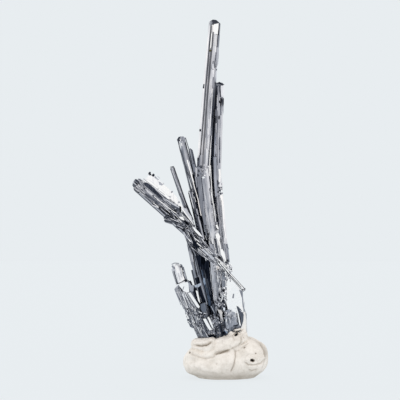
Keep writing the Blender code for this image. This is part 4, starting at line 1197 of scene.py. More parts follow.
featheredBundle = {
    # sheaves of needles that give it its body: count, start, end, spread at each end, layers,
    # thickness, ragged ends, how far the broken end bulges, brightness
    "sheaves": (
        (56, (-26.0, -6.0, 81.6), (-3.2, -5.6, 60.9), (5.0, 4.6), 4, 0.72, 0.5, 2.0, 0.50),
        (44, (-11.0, -6.0, 69.8), (5.0, -5.6, 50.8), (4.6, 2.8), 4, 0.60, 1.2, 0, 0.44),
        (12, (-5.0, -5.8, 62.0), (8.6, -5.4, 48.2), (3.6, 1.5), 3, 0.45, 2.8, 0, 0.6),
        (12, (-14.8, -6.2, 66.3), (-6.0, -5.7, 64.6), (1.2, 3.0), 3, 0.50, 0.3, 0, 0.44),
        (26, (-5.6, -5.2, 63.6), (-0.6, -5.0, 52.6), (4.0, 5.2), 2, 0.7, 1.2, 0, 0.4),
    ),
    # stretches of loose fibres in front: four corners, count, width, brightness, contrast, depth, lengths
    "fibres": (
        (((-23.4, 83.2), (-27.5, 79.4), (-8.2, 71.3), (-13.2, 67.9)),
         230, 0.30, 0.58, 0.26, -8.0, (0.15, 0.5)),
        (((-24.0, 83.2), (-27.9, 79.6), (-22.6, 80.2), (-25.2, 77.6)),
         60, 0.30, 0.62, 0.26, -8.0, (0.3, 0.9)),
        (((-8.6, 71.0), (-12.6, 67.9), (-2.9, 65.0), (-6.9, 60.9)),
         90, 0.34, 0.58, 0.32, -8.0, (0.12, 0.4)),
        (((-4.2, 65.6), (-7.6, 62.2), (2.4, 55.8), (-4.3, 54.0)), 130, 0.34, 0.41, 0.36, -8.0, (0.1, 0.34)),
        (((0.2, 57.2), (-3.8, 54.6), (8.8, 48.4), (5.4, 47.4)), 60, 0.36, 0.68, 0.30, -8.0, (0.1, 0.4)),
        (((-15.1, 67.1), (-15.2, 65.9), (-8.0, 66.2), (-8.4, 64.8)),
         16, 0.34, 0.50, 0.30, -8.0, (0.3, 0.8)),
        (((-9.9, 63.4), (-9.9, 62.9), (-6.2, 64.4), (-6.3, 62.2)), 10, 0.4, 0.36, 0.25, -8.0, (0.3, 0.8)),
        (((-6.4, 62.6), (-6.9, 60.9), (-3.4, 57.0), (-4.4, 54.2)), 24, 0.4, 0.54, 0.28, -8.0, (0.15, 0.5)),
    ),
    "facets": (
        # two plates at the broken end, their whiteness a painted highlight
        (((-23.5, 82.6), (-21.5, 84.4), (-20.0, 84.9), (-17.8, 83.4), (-15.3, 81.0), (-15.0, 75.8)),
         1.0, 0.0, -7.2, 1.0),
        (((-15.3, 81.0), (-11.9, 78.0), (-10.0, 76.0), (-7.9, 72.5), (-6.6, 71.0), (-8.2, 71.0),
          (-15.0, 75.8)), 1.0, 0.0, -7.2, 1.0),
        (((-23.5, 81.7), (-22.4, 81.8), (-18.9, 79.0), (-15.5, 75.4), (-15.9, 75.1), (-20.1, 78.2),
          (-23.2, 80.6)), 0.24, 0.2, -8.1),
        (((-22.6, 82.5), (-21.8, 83.2), (-15.4, 78.0), (-12.0, 74.8), (-13.4, 74.9), (-16.2, 77.2)),
         1.1, 0.0, -8.1),
        (((-22.9, 77.0), (-21.4, 76.6), (-17.0, 73.2), (-17.6, 72.5), (-20.5, 74.4)), 0.36, 0.1, -8.1),
        (((-23.1, 79.2), (-22.4, 79.2), (-19.5, 76.7), (-20.2, 76.3), (-22.2, 77.8)), 0.80, 0.0, -8.2),
        (((-18.6, 76.2), (-17.6, 76.0), (-12.6, 73.4), (-8.4, 70.9), (-8.3, 69.7), (-10.0, 70.8),
          (-14.2, 73.3), (-17.6, 75.4)), 0.34, 0.2, -7.9),
        (((-14.7, 75.1), (-11.7, 73.4), (-8.6, 71.5), (-8.4, 70.9), (-12.6, 73.2)), 0.82, 0.1, -8.2),
        (((-8.7, 71.8), (-7.9, 71.6), (-7.8, 69.9), (-8.1, 68.9), (-8.5, 69.4)), 0.04, 0.0, -8.3),
        (((-17.4, 82.2), (-16.6, 82.0), (-15.7, 81.1), (-15.9, 80.5), (-17.0, 80.8)), 0.72, 0.1, -7.5),
        (((-8.9, 67.5), (-7.4, 67.4), (-6.5, 66.3), (-6.9, 65.9), (-8.1, 66.5)), 1.15, 0.0, -8.3),
        (((-7.5, 71.3), (-5.9, 70.9), (-3.6, 67.5), (-2.9, 64.8), (-5.0, 66.9)), 0.84, 0.1, -8.0),
        (((-3.35, 63.3), (-2.3, 62.9), (-0.2, 60.8), (1.25, 58.8), (-0.4, 59.6), (-2.1, 61.3)),
         1.1, 0.1, -8.3),
        (((-6.5, 66.0), (-5.2, 65.0), (-4.5, 64.1), (-5.7, 64.1), (-6.4, 65.0)), 0.04, 0.2, -8.4),
        (((-3.2, 57.4), (-1.6, 57.2), (0.0, 54.6), (-1.2, 54.2), (-3.0, 55.4)), 0.14, 0.2, -8.3),
        (((0.6, 53.9), (1.6, 53.9), (3.8, 51.8), (6.0, 50.1), (5.6, 49.6), (3.6, 50.8), (1.6, 52.7)),
         0.80, 0.15, -8.2),
    ),
    "splinters": (
        (((-23.7, 83.4), (-14.8, 76.7)), 0.25, 0.55, 0.1, -8.2),
        (((-20.3, 72.5), (-17.3, 71.2)), 0.42, 0.90, 0.0, -8.3),
        (((-17.4, 71.5), (-14.7, 69.0)), 0.70, 0.08, 0.1, -8.2),
        (((-27.7, 79.3), (-25.6, 77.4)), 0.40, 0.26, 0.1, -8.2),
        (((-20.3, 74.2), (-18.4, 73.0)), 0.60, 0.24, 0.1, -8.2),
        (((-23.0, 77.0), (-21.0, 75.3)), 0.50, 0.28, 0.1, -8.2),
        (((-22.0, 75.6), (-19.0, 73.4)), 0.30, 0.72, 0.0, -8.3),
        (((-16.6, 74.0), (-12.2, 70.4), (-10.1, 69.0)), (0.3, 0.55), 1.15, 0.0, -8.4),
        (((-14.7, 71.1), (-12.6, 69.3)), 0.35, 0.90, 0.0, -8.4),
        (((-16.4, 70.9), (-13.6, 68.6)), 0.45, 0.74, 0.1, -8.4),
        (((-12.2, 69.9), (-10.2, 68.0)), 0.40, 0.80, 0.1, -8.4),
        (((-9.6, 63.9), (-7.2, 62.6)), 0.50, 0.78, 0.1, -8.4),
        (((-3.0, 70.6), (-0.8, 67.6)), 0.60, 0.22, 0.2, -8.0),
        (((-13.0, 70.6), (-10.4, 68.6)), 0.50, 0.30, 0.1, -8.3),
        (((-17.6, 79.1), (-14.9, 76.8)), 0.28, 0.50, 0.0, -7.6),
        (((-19.1, 84.3), (-17.4, 82.8)), 0.55, 0.74, 0.1, -7.5),
        (((-17.8, 84.5), (-16.8, 83.5)), 0.25, 0.74, 0.1, -7.3),
        (((-15.2, 66.9), (-13.4, 67.6), (-8.2, 64.4)), 0.85, 0.34, 0.1, -8.1),
        (((-15.0, 65.9), (-9.2, 65.0)), 0.80, 0.30, 0.1, -8.1),
        (((-12.4, 66.8), (-8.8, 65.2)), 0.30, 0.92, 0.0, -8.4),
        (((-14.7, 66.3), (-12.0, 65.8)), 0.30, 0.72, 0.0, -8.4),
        (((-10.1, 63.0), (-7.1, 64.2)), 0.80, 0.34, 0.1, -8.1),
        (((-7.5, 70.7), (-2.7, 64.2)), (0.85, 0.4), 1.15, 0.0, -8.4),
        (((-6.9, 68.6), (-2.1, 63.4)), 0.50, 0.22, 0.2, -8.2),
        (((-5.4, 62.1), (-4.2, 61.3)), 0.60, 0.82, 0.1, -8.4),
        (((-2.5, 58.7), (-0.3, 56.9)), 0.50, 1.1, 0.0, -8.4),
        (((-4.0, 60.0), (-2.6, 57.9)), 0.60, 0.08, 0.2, -8.3),
        (((-6.9, 61.0), (-5.9, 59.4), (-3.9, 56.9)), 0.80, 0.74, 0.1, -8.1),
        (((-4.8, 58.1), (-4.0, 57.0)), 0.65, 1.1, 0.0, -8.4),
        (((-1.3, 56.5), (0.4, 55.0)), 0.60, 1.1, 0.0, -8.4),
        (((0.8, 56.4), (3.2, 54.2)), 0.50, 0.18, 0.2, -8.3),
        (((6.4, 50.6), (11.0, 46.6)), 0.40, 1.15, 0.0, -8.3),
        (((7.6, 50.4), (9.4, 48.9)), 0.50, 0.10, 0.1, -8.3),
        (((2.8, 54.2), (5.4, 51.8)), 0.50, 0.90, 0.1, -8.3),
    ),
    # dark crumbs and pin-holes on the plate painted white as a highlight: place, size, brightness
    "specks": (
        ((-21.2, 85.7), 1.1, 0.30), ((-20.8, 85.1), 0.7, 0.5), ((-19.6, 84.8), 1.15, 0.22),
        ((-18.6, 83.9), 0.7, 0.7), ((-20.4, 81.9), 0.6, 0.80), ((-17.6, 79.1), 0.8, 0.50),
        ((-11.9, 77.9), 0.9, 0.72), ((-12.7, 75.8), 0.8, 0.72), ((-11.1, 73.4), 0.8, 0.62),
        ((-8.8, 73.5), 0.8, 0.70), ((-15.4, 81.2), 0.6, 0.75), ((-9.6, 72.4), 0.6, 0.8),
    ),
    "early": 0.35,           # share of the needles that start part of the way along
    # painted glints: brightness added to single needles, a few darkened instead
    "glints": (0.0, 0.05, 0.1, 0.25, -0.18),
}


def makeFeatheredBundle():
    rng = random.Random(31)
    things = grown("bundle", featheredBundle)
    for count, start, end, spread, layers, thick, ragged, bulge, level in featheredBundle["sheaves"]:
        along = (Vector(end) - Vector(start)).normalized()
        across = Vector((along.z, 0, -along.x))
        for index in range(count):
            place = index / (count - 1) - 0.5 + rng.uniform(-0.02, 0.02)
            layer = rng.uniform(-0.5, 0.5) * layers
            begin = Vector(start) + across * spread[0] * place + along * rng.uniform(-ragged, ragged)
            begin -= along * bulge * (1 - 4 * place * place)
            finish = Vector(end) + across * spread[1] * place + along * rng.uniform(-ragged, ragged)
            begin.y += layer * 0.75
            finish.y += layer * 0.6
            if rng.random() < featheredBundle["early"]:
                begin = begin.lerp(finish, rng.uniform(0.1, 0.6))
            glint = rng.choice(featheredBundle["glints"])
            size = thick * rng.uniform(0.7, 1.6)
            things.append(needle(finish, begin, size, level + glint, rng))
    for (x, z), size, level in featheredBundle["specks"]:
        things.append(chip(inView(x, z, -7.6), size, level, rng, 0.05))
    finished(joined("featheredBundle", things), brightStibnite, "stibnite_bright", "feathered_bundle")


rootCluster = {
    "Core": {
        "foot": (10.5, 0, 8), "tip": (8.2, 0.4, 25.5), "width": (20.0, 17.0), "depth": (12.5, 10.5),
        "strip": 0.9, "relief": 0.02, "ledges": 24,
        "bands": ((0.0, 0.3), (0.2, 0.36), (0.4, 0.30), (0.6, 0.4), (0.8, 0.3)),
        "caps": ((205, 20, 0.0, 0.3), (40, 24, 0.2, 0.35)),
    },
    "facets": (
        (((7.4, 28.4), (8.9, 28.1), (9.5, 26.9), (9.0, 26.2), (8.2, 26.6)), 0.86, -0.5, -6.6),
        (((8.2, 26.8), (9.3, 26.7), (9.4, 25.0), (8.8, 23.9)), 0.80, -0.4, -6.7),
        (((9.7, 29.3), (10.5, 29.2), (10.5, 27.9), (9.8, 28.0)), 1.1, 0.3, -6.8),
        (((7.6, 30.2), (10.6, 29.9), (10.9, 27.6), (9.0, 28.4)), 0.14, 0.0, -6.3),
        (((9.3, 36.8), (10.3, 36.9), (10.4, 35.9), (9.5, 35.8)), 0.06, 0.0, -6.6),
        (((3.4, 16.6), (10.7, 17.8), (10.6, 19.2), (7.0, 18.6), (3.4, 17.8)), 0.07, 0.0, -6.4),
    ),
    "splinters": (
        (((8.6, 35.1), (9.3, 34.6), (9.3, 32.8), (8.7, 31.7)), 0.55, 1.1, 0.0, -6.6),
        (((8.2, 35.0), (8.5, 33.2)), 0.55, 0.06, 0.0, -6.5),
        (((9.3, 32.3), (10.6, 30.4)), 0.90, 0.18, 0.1, -6.4),
        (((4.6, 29.9), (6.1, 27.0)), 0.55, 0.70, 0.2, -6.5),
        (((6.3, 30.9), (7.6, 30.2)), 0.50, 0.78, 0.1, -6.6),
        (((9.0, 26.3), (9.7, 23.4)), 0.55, 0.78, -0.3, -6.6),
        (((10.3, 19.8), (11.5, 18.4)), 0.80, 0.72, 0.8, -6.7),
        (((5.4, 30.6), (7.0, 22.0)), 1.2, 0.36, 0.1, -6.0),
    ),
    # broken stubs that fan out of the putty, set out like seeds in a sunflower
    "stubs": 150,
    "stubTurn": 2.39996,                     # radians from one to the next: the golden angle
    "stubMiddle": (9.4, 12),
    "stubSpread": (8.0, 6.0),
    "stubHeight": (8, 14, 3),                # least, most, and how much more in the middle
    "stubLean": (14.0, 0.3),                 # where they stand upright, and how fast they lean away
    "stubThick": (0.9, 2.0),
    "stubLevels": (0.2, 0.34, 0.5),
    # crumbs and broken ends in front: middle, spread, depth, count, size, brightness
    "crumbs": (
        ((6.6, 22.0), (3.8, 4.6), -5.9, 260, 0.52, (0.40, 0.52, 0.60, 0.68, 0.82)),
        ((8.6, 30.6), (2.2, 3.6), -5.9, 140, 0.5, (0.34, 0.5, 0.6, 0.7, 0.85)),
        ((9.6, 34.6), (1.4, 2.6), -5.9, 70, 0.45, (0.5, 0.6, 0.66, 0.76)),
        ((10.9, 46.0), (1.8, 2.6), -6.6, 90, 0.45, (0.3, 0.6, 0.9, 1.1, 1.15)),
        ((8.9, 44.2), (2.4, 2.2), -5.9, 50, 0.4, (0.5, 0.66, 0.8, 0.95)),
        ((-0.6, 22.0), (1.6, 2.4), -6.9, 40, 0.55, (0.3, 0.4, 0.5, 0.6)),
        ((0.8, 26.0), (2.6, 1.2), -6.9, 50, 0.6, (0.3, 0.4, 0.5, 0.8)),
        ((5.6, 18.6), (3.2, 1.2), -6.2, 90, 0.55, (0.36, 0.48, 0.6, 0.76)),
        ((-4.0, 27.4), (2.0, 1.8), -6.9, 60, 0.45, (0.3, 0.45, 0.6, 0.85)),
        ((12.2, 26.2), (1.8, 2.4), -7.1, 44, 0.4, (0.5, 0.66, 0.8, 0.95)),
        ((10.7, 34.0), (0.8, 7.0), -6.9, 60, 0.4, (0.6, 0.8, 1.0, 1.15)),
        ((11.8, 43.2), (1.6, 2.6), -6.9, 50, 0.45, (0.5, 0.8, 1.0, 1.15)),
        ((11.0, 20.0), (1.0, 1.8), -6.4, 30, 0.5, (0.4, 0.5, 0.6, 0.8)),
    ),
    "crumbScatter": 0.45,
}


def makeRootCluster():
    rng = random.Random(41)
    table = rootCluster
    things = grown("root", table)
    (middle, ground), (wide, deep) = table["stubMiddle"], table["stubSpread"]
    (least, most, higher), (upright, lean) = table["stubHeight"], table["stubLean"]
    for index in range(table["stubs"]):
        around = index * table["stubTurn"]
        out = math.sqrt((index + 0.5) / table["stubs"])
        foot = Vector((middle + wide * out * math.cos(around), deep * out * math.sin(around), ground))
        rise = rng.uniform(least, most) + higher * (1 - out)
        tip = foot + Vector((-(upright - foot.x) * lean + rng.uniform(-1.5, 1.5), foot.y * 0.2, rise))
        thick = rng.uniform(*table["stubThick"])
        things.append(needle(foot, tip, thick, rng.choice(table["stubLevels"]), rng))
    scatter = table["crumbScatter"]
    for (x, z), (wide, high), front, count, size, levels in table["crumbs"]:
        for index in range(count):
            at = (x + rng.gauss(0, scatter) * wide, z + rng.gauss(0, scatter) * high)
            things.append(chip(inView(*at, front + rng.uniform(-0.5, 0.5)), size * rng.uniform(0.6, 1.5),
                               rng.choice(levels), rng, 0.14, (rng.uniform(-0.7, 0.2), 0, 1)))
    finished(joined("rootCluster", things), darkStibnite, "stibnite_dark", "root_cluster")


greyStibnite = stibnite("greyStibnite")
brightStibnite = stibnite("brightStibnite", rough=(0.10, 0.26))
darkStibnite = stibnite("darkStibnite", warmth=0.05)

makeTallCrystal()
makeRightCrystal()
for piece, name, node, slot, material in (
        (leftBlade, "leftBlade", "left_blade", "stibnite_grey", greyStibnite),
        (leftNeedle, "leftNeedle", "left_needle", "stibnite_grey", greyStibnite),
        (shortCrystal, "shortCrystal", "short_crystal", "stibnite_dark", darkStibnite),
        (leftColumn, "leftColumn", "left_column", "stibnite_dark", darkStibnite),
        (backBlade, "backBlade", "back_blade", "stibnite_dark", darkStibnite),
        (lowerLeft, "lowerLeftCrystal", "lower_left_crystal", "stibnite_bright", brightStibnite),
        (broadCrystal, "broadCrystal", "broad_crystal", "stibnite_bright", brightStibnite),
        (rightNeedle, "rightNeedle", "right_needle", "stibnite_bright", brightStibnite)):
    finished(joined(name, grown(name, piece)), material, slot, node)
makeFeatheredBundle()
makeRootCluster()
for master in [entry["thing"] for entry in needleMasters] + chipMasters + list(prismMasters.values()):
    bpy.data.objects.remove(master)
print("crystals grown")


putty = {
    # middle, radii and tilt of each ball pressed into the lump, mm and degrees
    "balls": (
        ((10.7, 0.0, 6.6), (17.8, 14.2, 9.2), 0),
        ((19.8, -1.4, 8.4), (8.9, 11.8, 8.6), 0),
        ((2.6, -2.4, 13.7), (6.2, 8.6, 3.2), 3),
        ((-0.6, -3.0, 15.0), (2.8, 5.0, 1.9), 0),
        ((5.2, -3.0, 15.0), (3.6, 6.0, 2.4), -6),
        ((0.4, -3.0, 8.0), (6.6, 8.4, 5.4), 0),
        ((10.6, -6.4, 12.9), (9.0, 5.4, 4.2), -27),
        ((6.4, -4.6, 5.4), (13.0, 9.6, 5.6), 4),
        ((8.8, -6.0, 15.7), (4.4, 3.4, 1.9), -22),
        ((1.0, -1.5, 4.1), (7.1, 6.5, 3.9), 0),
        ((15.6, -5.4, 15.2), (4.2, 3.6, 4.0), 0),
        ((12.7, -6.6, 17.6), (1.5, 1.6, 2.3), 20),
        ((15.7, -6.6, 20.3), (2.2, 1.7, 0.8), -14),
        ((18.3, -5.6, 17.4), (1.6, 2.6, 3.8), 0),
    ),
    "voxel": 0.27,
    # folded rolls: line seen from the front (x, z), half width at both ends, height, mm
    "rolls": (
        (((-3.4, 15.3), (1.6, 14.9), (4.9, 15.6)), (1.7, 1.5), 0.5),
        (((3.2, 9.8), (5.4, 12.4), (11.0, 14.0), (16.6, 16.6)), (2.1, 3.0), 0.9),
        (((20.2, 7.4), (23.6, 7.6), (27.0, 8.4)), (1.2, 1.0), 0.35),
        (((-6.0, 8.2), (-1.6, 10.8)), (1.6, 2.2), 0.3),
    ),
    # line, width, depth, painted shade in the groove, and the side it is on: -1 in front, 1 behind
    "creases": (
        (((-2.0, 13.3), (0.6, 13.0), (3.2, 13.5), (4.8, 14.3)), 0.38, 0.85, 0.8, -1),
        (((6.4, 9.7), (9.2, 10.4), (12.1, 11.1)), 0.36, 0.75, 0.75, -1),
        (((11.4, 10.9), (13.4, 11.8), (15.9, 13.1), (19.2, 15.0)), 0.45, 0.4, 0.22, -1),
        (((19.6, 16.9), (22.6, 16.4), (25.2, 14.6), (27.2, 11.8), (28.3, 8.4)), 1.3, 0.02, 0.4, -1),
        (((-4.6, 9.9), (-1.6, 8.9), (0.2, 8.2), (2.5, 7.6), (5.4, 8.3), (6.8, 9.8)), 0.36, 0.36, 0.25, -1),
        (((14.7, 11.4), (14.9, 8.4), (14.1, 4.4), (12.9, 2.0)), 0.3, 0.5, 0.5, -1),
        (((25.0, 14.3), (27.0, 10.6), (27.3, 7.0), (26.0, 3.6)), 0.26, 0.3, 0.3, -1),
        (((13.4, 12.4), (15.2, 10.6), (17.0, 11.4)), 0.22, 0.16, 0.2, -1),
        (((17.2, 12.0), (18.8, 13.0), (20.4, 14.2)), 0.22, 0.2, 0.35, -1),
        (((18.8, 6.2), (20.2, 5.0), (22.6, 4.9), (25.6, 5.6), (26.8, 7.2)), 0.3, 0.5, 0.4, -1),
        (((20.4, 3.1), (21.6, 2.5), (24.0, 3.0)), 0.24, 0.3, 0.35, -1),
        (((19.4, 8.8), (20.6, 9.6), (23.4, 9.4)), 0.24, 0.18, 0.2, -1),
        (((13.2, 19.9), (14.2, 19.2), (15.4, 18.9), (16.8, 19.3), (17.6, 20.0)), 0.36, 1.5, 1.5, -1),
        (((17.0, 16.6), (16.9, 14.6), (16.2, 13.6)), 0.3, 0.5, 0.4, -1),
        (((14.0, 18.0), (13.7, 16.6), (14.4, 15.0)), 0.24, 0.3, 0.3, -1),
        (((-3.4, 4.6), (1.0, 2.2), (7.0, 1.6)), 0.5, 0.16, 0.1, -1),
        (((-6.4, 6.0), (-4.2, 2.6)), 0.4, 0.14, 0.1, -1),
        (((6.2, 6.4), (6.9, 3.6)), 0.5, 0.12, 0.05, -1),
        (((2.4, 12.8), (8.4, 10.2), (15.0, 12.6)), 0.45, 0.7, 0.4, 1),
        (((17.4, 4.6), (20.4, 8.6), (19.0, 13.0)), 0.4, 0.6, 0.35, 1),
        (((-2.4, 5.6), (3.0, 4.4), (9.6, 5.4)), 0.35, 0.4, 0.3, 1),
    ),
    # middle seen from the front, half axes, tilt, depth, painted shade inside
    "holes": (
        ((22.0, 6.9), (0.78, 0.48), -18, 1.8, 3.0),
        ((-4.2, 10.1), (0.42, 0.32), 30, 0.45, 0.6),
        ((18.65, 12.35), (0.5, 0.26), 30, 0.4, 0.55),
        ((23.5, 9.9), (0.42, 0.3), -40, 0.35, 0.4),
        ((15.2, 17.3), (0.75, 0.5), 50, 1.2, 3.0),
        ((17.9, 16.2), (0.3, 0.4), 0, 0.4, 0.5),
    ),
    "segments": 48,
    "rings": 32,
    "softening": (0.5, 5),                   # how strongly and how often the lump is smoothed
    "waves": (0.5, 5.5),                     # mm, height and length of its gentle bumps
    "shading": (0.26, 6.0, 4.5),                # painted shade at its foot, darker towards the bottom: how strong, how high it reaches, and mm of fading
    # pores: how many, their width and depth, and the painted shade inside each
    "pores": 90,
    "poreWidth": (0.22, 0.5),
    "poreDepth": (0.08, 0.3),
    "poreShade": (0.02, 0.12),
    "shaded": "#e0d8ce",
    "pale": "#faf3eb",
    # colours of the painted shade: grey partway along its ramp, near black at the deepest
    "shadeGrey": "#a39b90",
    "black": "#0d0c0b",
}


def kneadedPutty():
    # Mounting putty, kneaded by hand: chalk-filled oil, dull and slightly waxy, cream with a faint mottle;
    # its creases, holes, pores and foot are darkened with painted shade.
    material, tree, shader = newMaterial("kneadedPutty")
    place = addNode(tree, "ShaderNodeTexCoord")
    mottle = addNode(tree, "ShaderNodeTexNoise", {"Scale": 260.0, "Detail": 9.0, "Roughness": 0.74},
                     {"Vector": place.outputs["Object"]})
    ramp = addNode(tree, "ShaderNodeValToRGB", {}, {"Fac": mottle.outputs["Fac"]})
    for stop, at, tone in zip(ramp.color_ramp.elements, (0.36, 0.58), ("shaded", "pale")):
        stop.position = at
        stop.color = hexToLinear(putty[tone])
    # painted shade: the cream is darkened in creases, holes and pores and towards the foot
    paintedShade = addNode(tree, "ShaderNodeAttribute", {"attribute_name": "paintedShade"})
    shading = addNode(tree, "ShaderNodeValToRGB", {}, {"Fac": paintedShade.outputs["Fac"]})
    shading.color_ramp.elements[0].color = hexToLinear("#ffffff")
    shading.color_ramp.elements[1].color = hexToLinear(putty["black"])
    shading.color_ramp.elements.new(0.4).color = hexToLinear(putty["shadeGrey"])
    darkened = addNode(tree, "ShaderNodeMix", {"data_type": "RGBA", "blend_type": "MULTIPLY", 0: 1.0},
                     {6: ramp.outputs["Color"], 7: shading.outputs["Color"]})
    tree.links.new(darkened.outputs[2], shader.inputs["Base Color"])
    shader.inputs["Roughness"].default_value = 0.7
    grit = addNode(tree, "ShaderNodeTexNoise", {"Scale": 900.0, "Detail": 3.0},
                   {"Vector": place.outputs["Object"]})
    bump = addNode(tree, "ShaderNodeBump", {"Strength": 0.4, "Distance": 0.2 * mm},
                   {"Height": grit.outputs["Fac"]})
    tree.links.new(bump.outputs["Normal"], shader.inputs["Normal"])
    return material


def nearPath(points, path):
    # distance of points (x, z) from a chain of straight runs, and how far along it they are, 0 to 1
    best = np.full(len(points), 1e9)
    place = np.zeros(len(points))
    for index, (start, end) in enumerate(zip(path, path[1:])):
        start = np.array(start)
        run = np.array(end) - start
        share = np.clip(((points - start) @ run) / (run @ run), 0, 1)
        away = np.linalg.norm(points - start - share[:, None] * run, axis=1)
        place = np.where(away < best, (index + share) / (len(path) - 1), place)
        best = np.minimum(best, away)
    return best, place


def seenAt(points):
    # where the camera sees points against the plane through the spray's middle: the reverse of inView
    eye = np.array(towardsCamera()) * view["distance"] + np.array((0, 0, view["middle"]))
    ray = points - eye
    return (eye + ray * (-eye[1] / ray[:, 1:2]))[:, [0, 2]]


def pressedBalls():
    # the lump before its folds: balls pressed together and smoothed
    balls = []
    for middle, radii, tilt in putty["balls"]:
        bpy.ops.object.select_all(action="DESELECT")
        bpy.ops.mesh.primitive_uv_sphere_add(segments=putty["segments"], ring_count=putty["rings"],
                                             radius=1.0)
        ball = bpy.context.object
        ball.matrix_world = (Matrix.Translation(Vector(middle)) @ Matrix.Rotation(math.radians(tilt), 4, "Y")
                             @ Matrix.Diagonal((*radii, 1)))
        bpy.ops.object.transform_apply(location=True, rotation=True, scale=True)
        balls.append(ball)
    lump = joined("puttyLump", balls)
    remesh = lump.modifiers.new("knead", "REMESH")
    remesh.mode = "VOXEL"
    remesh.voxel_size = putty["voxel"]
    bpy.ops.object.modifier_apply(modifier=remesh.name)
    soften = lump.modifiers.new("soften", "SMOOTH")
    soften.factor, soften.iterations = putty["softening"]
    bpy.ops.object.modifier_apply(modifier=soften.name)
    return lump


def makePutty():
    lump = pressedBalls()
    mesh = lump.data
    points = readAll(mesh.vertices, "co", 3).astype(float)
    normals = readAll(mesh.vertices, "normal", 3)
    seen = seenAt(points)
    facing = {side: np.clip(normals[:, 1] * side * 2 + 0.4, 0, 1) for side in (-1, 1)}
    high, long = putty["waves"]
    push = np.array([high * noise.noise(Vector(point) / long) for point in points])
    darkness, top, fade = putty["shading"]
    # painted shade: darker towards the foot
    paintedShade = darkness * np.clip((top - points[:, 2]) / fade, 0, 1) ** 1.5
    for path, wide, high in putty["rolls"]:
        away, place = nearPath(seen, path)
        half = wide[0] + (wide[1] - wide[0]) * place
        push += high * facing[-1] * np.sqrt(np.clip(1 - (away / half) ** 2, 0, 1))
    for path, wide, deep, darkness, side in putty["creases"]:
        away, place = nearPath(seen, path)
        groove = np.exp(-(away / wide) ** 2) * np.clip(np.minimum(place, 1 - place) * 8 + 0.3, 0, 1)
        lip = np.exp(-((away - 2.4 * wide) / wide) ** 2)
        push += facing[side] * deep * (0.25 * lip - groove)
        # painted shade in the groove
        paintedShade += facing[side] * darkness * groove * 0.5
    for (x, z), (wide, high), tilt, deep, darkness in putty["holes"]:
        turn = math.radians(tilt)
        offset = seen - np.array((x, z))
        across = (offset[:, 0] * math.cos(turn) + offset[:, 1] * math.sin(turn)) / wide
        upwards = (offset[:, 1] * math.cos(turn) - offset[:, 0] * math.sin(turn)) / high
        inside = np.exp(-(across ** 2 + upwards ** 2) ** 2)
        push -= facing[-1] * deep * inside
        # painted shade inside the hole
        paintedShade += facing[-1] * darkness * inside
    rng = random.Random(51)
    for index in range(putty["pores"]):
        away = np.linalg.norm(points - points[rng.randrange(len(points))], axis=1)
        inside = np.exp(-(away / rng.uniform(*putty["poreWidth"])) ** 2)
        push -= rng.uniform(*putty["poreDepth"]) * inside
        # painted shade inside the pore
        paintedShade += rng.uniform(*putty["poreShade"]) * inside
    points += normals * push[:, None]
    points[:, 2] = np.maximum(points[:, 2], 0.0)
    mesh.vertices.foreach_set("co", points.astype(np.float32).ravel())
    keepAll(mesh, "paintedShade", "POINT", np.clip(paintedShade, 0, 1))
    mesh.transform(Matrix.Scale(mm, 4))
    bpy.ops.object.shade_smooth()
    finished(lump, kneadedPutty(), "putty", "putty_lump")


makePutty()
print("putty kneaded")


studio = {
    "backdrop": "#e8edf0",
    "softboxes": (               # direction, half-angles where it is full and where it fades out, strength
        ((-0.80, -0.62, 0.25), 16, 50, 0.16),
        ((0.86, -0.50, 0.20), 14, 44, 0.10),
        ((0.10, 0.95, 0.30), 30, 75, 0.10),
        ((0.00, 0.00, 1.00), 20, 55, 0.15),
        ((-1.00, 0.10, 0.00), 4, 20, -0.15),
        ((1.00, 0.12, 0.00), 4, 20, -0.15),
    ),
    "fill": 1.2,
    "tableSize": 1.2,            # metres
    "tableDrop": 0.0002,
    "tableShade": 0.10,          # how much of the light it gives back, and how much it glows itself
    "tableGlow": 0.90,
}


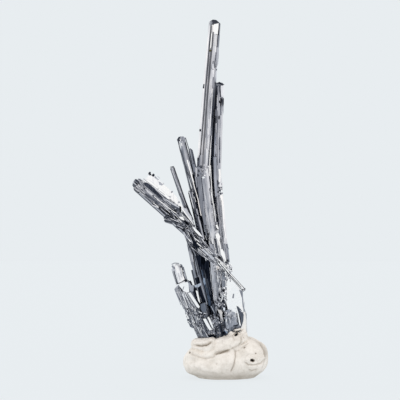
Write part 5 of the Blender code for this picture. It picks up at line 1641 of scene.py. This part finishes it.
def makeLight(scene):
    world = bpy.data.worlds.new("studioLight")
    scene.world = world
    world.use_nodes = True
    tree = world.node_tree
    tree.nodes.clear()
    direction = addNode(tree, "ShaderNodeTexCoord")
    fill = addNode(tree, "ShaderNodeValue")
    fill.outputs[0].default_value = studio["fill"]
    total = fill.outputs[0]
    for middle, full, fade, strength in studio["softboxes"]:
        lined = addNode(tree, "ShaderNodeVectorMath",
                        {"operation": "DOT_PRODUCT", 1: Vector(middle).normalized()},
                        {0: direction.outputs["Generated"]})
        glow = addNode(tree, "ShaderNodeMapRange",
                       {"interpolation_type": "SMOOTHSTEP", "From Min": math.cos(math.radians(fade)),
                        "From Max": math.cos(math.radians(full)), "To Max": strength},
                       {"Value": lined.outputs["Value"]})
        total = addNode(tree, "ShaderNodeMath", {"operation": "ADD"},
                        {0: total, 1: glow.outputs["Result"]}).outputs[0]
    light = addNode(tree, "ShaderNodeBackground", {}, {"Strength": total})
    plain = addNode(tree, "ShaderNodeBackground", {"Color": hexToLinear(studio["backdrop"])})
    kind = addNode(tree, "ShaderNodeLightPath")
    mix = addNode(tree, "ShaderNodeMixShader", {},
                  {0: kind.outputs["Is Camera Ray"], 1: light.outputs[0], 2: plain.outputs[0]})
    addNode(tree, "ShaderNodeOutputWorld", {}, {"Surface": mix.outputs[0]})


def makeTable():
    bpy.ops.object.select_all(action="DESELECT")
    bpy.ops.mesh.primitive_plane_add(size=studio["tableSize"], location=(0, 0, -studio["tableDrop"]))
    floor = bpy.context.object
    floor.name = "floor"
    acrylic, tree, shader = newMaterial("whiteAcrylicTable")
    backdrop = hexToLinear(studio["backdrop"])
    shader.inputs["Base Color"].default_value = [studio["tableShade"] * c for c in backdrop[:3]] + [1]
    shader.inputs["Specular IOR Level"].default_value = 0.0
    shader.inputs["Emission Color"].default_value = backdrop
    shader.inputs["Emission Strength"].default_value = studio["tableGlow"]
    floor.data.materials.append(acrylic)


def makeCamera(scene):
    lens = bpy.data.cameras.new("camera")
    camera = bpy.data.objects.new("camera", lens)
    scene.collection.objects.link(camera)
    away = Vector(towardsCamera()) * view["distance"]
    camera.location = (Vector((0, 0, view["middle"])) + away) * mm
    camera.rotation_euler = (math.pi / 2 - math.radians(view["elevation"]), 0, 0)
    lens.sensor_width = view["sensor"]
    lens.lens = lens.sensor_width * view["distance"] / view["wide"]
    lens.clip_start = view["nearest"]
    scene.camera = camera


bpy.context.scene.view_settings.view_transform = "Standard"
makeLight(bpy.context.scene)
makeTable()
makeCamera(bpy.context.scene)
print("studio lit")
